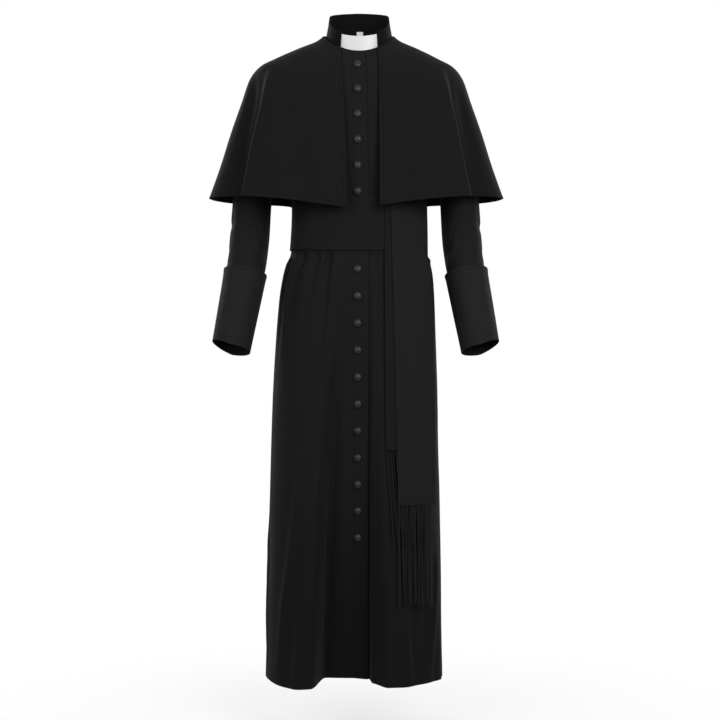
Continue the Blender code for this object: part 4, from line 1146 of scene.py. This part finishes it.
def make_cape():
    down = (0.2, 0.6)
    hem = ("bottom", 0.008, 0.0004)
    for node, form in (("cape_front_right", cape_right), ("cape_front_left", cape_left)):
        cloth(
            node, form, even(form, 0, 1, True, (5.0, 9.0)), even(form, 0, 9, False, down),
            SHADE * PAINTED_LIGHT_BY_PIECE["cape"], [("first", 0.0075, 0.8), ("bottom", 0.0075, 0.8)],
            soft=0.0010, still=(0.02, 0.03, 0.05, 0.0),
            hems=[hem, ("first", 0.008, 0.0004)],
        )
    cloth(
        "cape_back", cape_behind, even(cape_behind, 0, 1, True, (5.0, 9.0)),
        even(cape_behind, 0, 9, False, down), SHADE * PAINTED_LIGHT_BY_PIECE["cape"], [("bottom", 0.0075, 0.8)],
        soft=0.0012, still=(0.03, 0.03, 0.05, 0.0), hems=[hem],
    )


def make_collar():
    us = np.unique(np.concatenate([
        np.linspace(0, 0.02, 9),
        even(rounded_collar, 0.02, 0.98, True, (0.5,), 0.0040),
        np.linspace(0.98, 1, 9),
    ]))
    cloth(
        "collar", rounded_collar, us, np.linspace(1, 0, 16), SHADE * PAINTED_LIGHT_BY_PIECE["collar"],
        [("top", 0.004, 0.5), ("first", 0.004, 0.5), ("last", 0.004, 0.5)],
        still=(0, 0, 0, 0),
    )
    insert = shell(
        "collar_insert", insert_form, np.linspace(0, 1, 61), np.linspace(1, 0, 14),
        lift=-INSERT_INSIDE, thick=INSERT_THICK, still=(0, 0, 0, 0),
    )
    put(insert, "collar_insert", white_plastic())
    label = shell(
        "neck_label", label_form, np.linspace(0, 1, 15), np.linspace(0, 1, 25),
        thick=LABEL_THICK, still=(0, 0, 0, 0), facing=(0.0, -1.0, 0.0),
    )
    put(label, "neck_label", label_tape())


def make_sash(cord_finish):
    around = even(body_form, 0, 360, True, (8.0, 9.0))[:-1]
    cloth(
        "sash_band", body_form, around, even(body_form, BAND_TOP_ROW, BAND_BOTTOM_ROW, False, (0.0, 90.0)),
        SHADE * PAINTED_LIGHT_BY_PIECE["sash_band"], lift=BAND_PROUD, closed=True, soft=0.0003,
        still=(0, 0, 0.01, 0.01),
    )
    for node, fall in FALLS.items():
        form = fall_form(fall)
        obj = shell(
            node, form, even(form, 0, 1, True, (-0.5, -0.8), 0.0036),
            even(form, fall["top"], fall["end"], False, ROWS_MAIN),
            lift=BAND_PROUD + fall["proud"], soft=0.0003, creases=CREASES[node],
            still=(0.01, 0.01, 0.05, 0.02), hems=[("first", 0.004, 0.0002), ("last", 0.004, 0.0002)],
        )
        stitches = [("bottom", 0.006, 0.5)]
        finish = twill("black_twill_" + node, SHADE * PAINTED_LIGHT_BY_PIECE[node], stitches)
        put(obj, node, finish)
        fringe = make_fringe(node, cord_finish)


def make_fringe(fall_name, cord_finish):
    node = next(name for name, fringe in FRINGES.items() if fringe["fall"] == fall_name)
    fringe, fall = FRINGES[node], FALLS[fall_name]
    form = fall_form(fall, fringe["drift"], fringe["narrow"], fringe["lift"])
    top = fall["end"] - SEAM_GAP - CORD_TOP_GAP
    turns_around = np.arange(STRAND_SIDES) * 2 * np.pi / STRAND_SIDES
    vertices, faces = [], []
    seed = 3.0 if node == "fringe_front" else 8.0
    for cord in range(CORD_COUNT):
        stray = math.sin(cord * 12.9 + seed) * 0.45 + math.sin(cord * 4.1 + seed * 2) * 0.35
        length = top - fringe["end"] - CORD_END_GAP + CORD_UNEVEN * math.sin(cord * 7.3 + seed)
        steps = int(length / CORD_TWIST * CORD_STEPS_PER_TURN)
        t = np.linspace(0, 1, steps + 1)
        z = top - length * t
        layer = cord % CORD_LAYERS
        slot = (cord + 0.5 - 0.2 * layer) / CORD_COUNT
        u = slot + stray * (0.25 + 0.75 * t) / CORD_COUNT
        u = u + CORD_SWAY * np.sin(t * 5 + cord * 1.9) * t
        middle = form(np.clip(u, 0.015, 0.985), z)
        middle[:, 1] -= BAND_PROUD + fall["proud"] - CLOTH / 2 + 0.0004 * math.sin(cord * 5.7)
        middle[:, 1] += CORD_LAYER_STEP * (layer - 0.5) * eased(t, 0.02, 0.25)
        turn = t * length / CORD_TWIST * 2 * np.pi + cord * 2.1
        for strand in (0.0, np.pi):
            centre = middle + points(
                np.cos(turn + strand) * CORD_RADIUS * 0.52, np.sin(turn + strand) * CORD_RADIUS * 0.52, 0.0,
            )
            taper = np.minimum(1.0, np.sqrt(np.clip((1 - t) * length / 0.0012, 0.02, 1.0)))
            ring = np.stack([np.cos(turns_around), np.sin(turns_around), np.zeros(STRAND_SIDES)], axis=-1)
            tube = centre[:, None] + ring[None] * (STRAND_RADIUS * taper)[:, None, None]
            base = sum(len(part) for part in vertices)
            index = base + np.arange((steps + 1) * STRAND_SIDES).reshape(steps + 1, STRAND_SIDES)
            side = np.roll(index, -1, axis=1)
            faces += np.stack([index[:-1], index[1:], side[1:], side[:-1]], axis=-1).reshape(-1, 4).tolist()
            faces += [index[0].tolist(), index[-1, ::-1].tolist()]
            vertices.append(tube.reshape(-1, 3))
    mesh = bpy.data.meshes.new(node + "_cords")
    mesh.from_pydata(np.concatenate(vertices).tolist(), [], faces)
    mesh.shade_smooth()
    obj = bpy.data.objects.new(node + "_cords", mesh)
    bpy.context.scene.collection.objects.link(obj)
    put(obj, node, cord_finish)
    return obj


# Covered buttons

def one_button():
    """A domed button: the cloth drawn over a round mould and gathered in behind."""
    bpy.ops.object.select_all(action="DESELECT")
    bpy.ops.mesh.primitive_uv_sphere_add(segments=BUTTON_SIDES, ring_count=BUTTON_RINGS, radius=BUTTON_RADIUS)
    obj = bpy.context.object
    obj.name = "covered_button"
    bpy.ops.object.mode_set(mode="EDIT")
    bpy.ops.mesh.select_all(action="SELECT")
    bpy.ops.transform.resize(value=(1.0, 1.0, BUTTON_FLATTEN))
    bpy.ops.mesh.bisect(plane_co=(0, 0, -BUTTON_BACK), plane_no=(0, 0, -1), clear_outer=True, use_fill=True)
    bpy.ops.mesh.inset(thickness=BUTTON_GATHER)
    bpy.ops.transform.translate(value=(0, 0, BUTTON_DISH))
    bpy.ops.mesh.select_all(action="SELECT")
    bpy.ops.transform.translate(value=(0, 0, BUTTON_BACK))
    bpy.ops.mesh.normals_make_consistent(inside=False)
    bpy.ops.object.mode_set(mode="OBJECT")
    bpy.ops.object.shade_smooth_by_angle(angle=math.radians(40))
    return obj


def make_buttons():
    pattern = one_button()
    finish = satin_button()
    for node in sorted(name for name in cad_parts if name.startswith("button_")):
        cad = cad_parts[node]
        corners = np.array([cad.matrix_world @ vertex.co for vertex in cad.data.vertices])
        corners = np.unique(np.round(corners, 6), axis=0)
        ways = np.linalg.eigh(np.cov((corners - corners.mean(axis=0)).T)).eigenvectors
        out = ways[:, 0] * (-1 if ways[1, 0] > 0 else 1)
        heights = corners @ out
        middle = (corners.max(axis=0) + corners.min(axis=0)) / 2
        base = Vector(middle + out * (heights.min() - middle @ out))
        turn = Vector(out).to_track_quat("Z", "Y").to_matrix().to_4x4()
        mesh = pattern.data.copy()
        mesh.transform(Matrix.Translation(base) @ turn)
        obj = bpy.data.objects.new(node + "_covered", mesh)
        bpy.context.scene.collection.objects.link(obj)
        put(obj, node, finish)
    bpy.data.objects.remove(pattern)


# Floor, light and camera

def set_the_studio():
    scene = bpy.context.scene
    scene.view_settings.view_transform = "Standard"
    bpy.ops.mesh.primitive_circle_add(vertices=96, radius=FLOOR_RADIUS, fill_type="NGON")
    floor = bpy.context.object
    floor.name = "floor"
    floor.data.transform(Matrix.Translation((0, 0, SKIRT_HEM - FLOOR_DROP)))
    finish = Finish("pale_floor")
    place = finish.place()
    flat = place.node("ShaderNodeVectorMath", {"operation": "MULTIPLY"}, {0: place, 1: (1.0, 1.0, 0.0)})
    away = flat.node("ShaderNodeVectorMath", {"operation": "LENGTH"}, {0: flat}, "Value")
    finish.set(Base_Color=finish.grey(0.90 + finish.noise(3.0) * 0.02), Roughness=0.9)
    finish.set(Alpha=FLOOR_STRENGTH - away.between(0.25, FLOOR_RADIUS * 0.96) * FLOOR_STRENGTH)
    floor.data.materials.append(finish.material)

    world = bpy.data.worlds.new("white_studio")
    scene.world = world
    world.use_nodes = True
    tree = world.node_tree
    sky = tree.nodes["Background"]
    start = Wire(tree, None)
    seen = start.node("ShaderNodeLightPath", {}, {}, "Is Camera Ray")
    sky.inputs["Color"].default_value = (1.0, 1.0, 1.0, 1.0)
    tree.links.new((ROOM_LIGHT + seen * (1.0 - ROOM_LIGHT)).socket, sky.inputs["Strength"])

    for name, place, target, size, power in LAMPS:
        lamp = bpy.data.lights.new(name, "AREA")
        lamp.size = size
        lamp.energy = power
        obj = bpy.data.objects.new(name, lamp)
        obj.location = place
        obj.rotation_euler = (Vector(target) - Vector(place)).to_track_quat("-Z", "Y").to_euler()
        scene.collection.objects.link(obj)

    camera = bpy.data.cameras.new("camera")
    camera.lens = CAMERA_LENS
    camera.sensor_width = CAMERA_SENSOR
    obj = bpy.data.objects.new("camera", camera)
    obj.location = CAMERA_PLACE
    obj.rotation_euler = (math.radians(90), 0, 0)
    scene.collection.objects.link(obj)
    scene.camera = obj


make_bodice()
make_sleeves()
make_skirt()
make_cape()
make_collar()
make_sash(corded_black())
make_buttons()
set_the_studio()
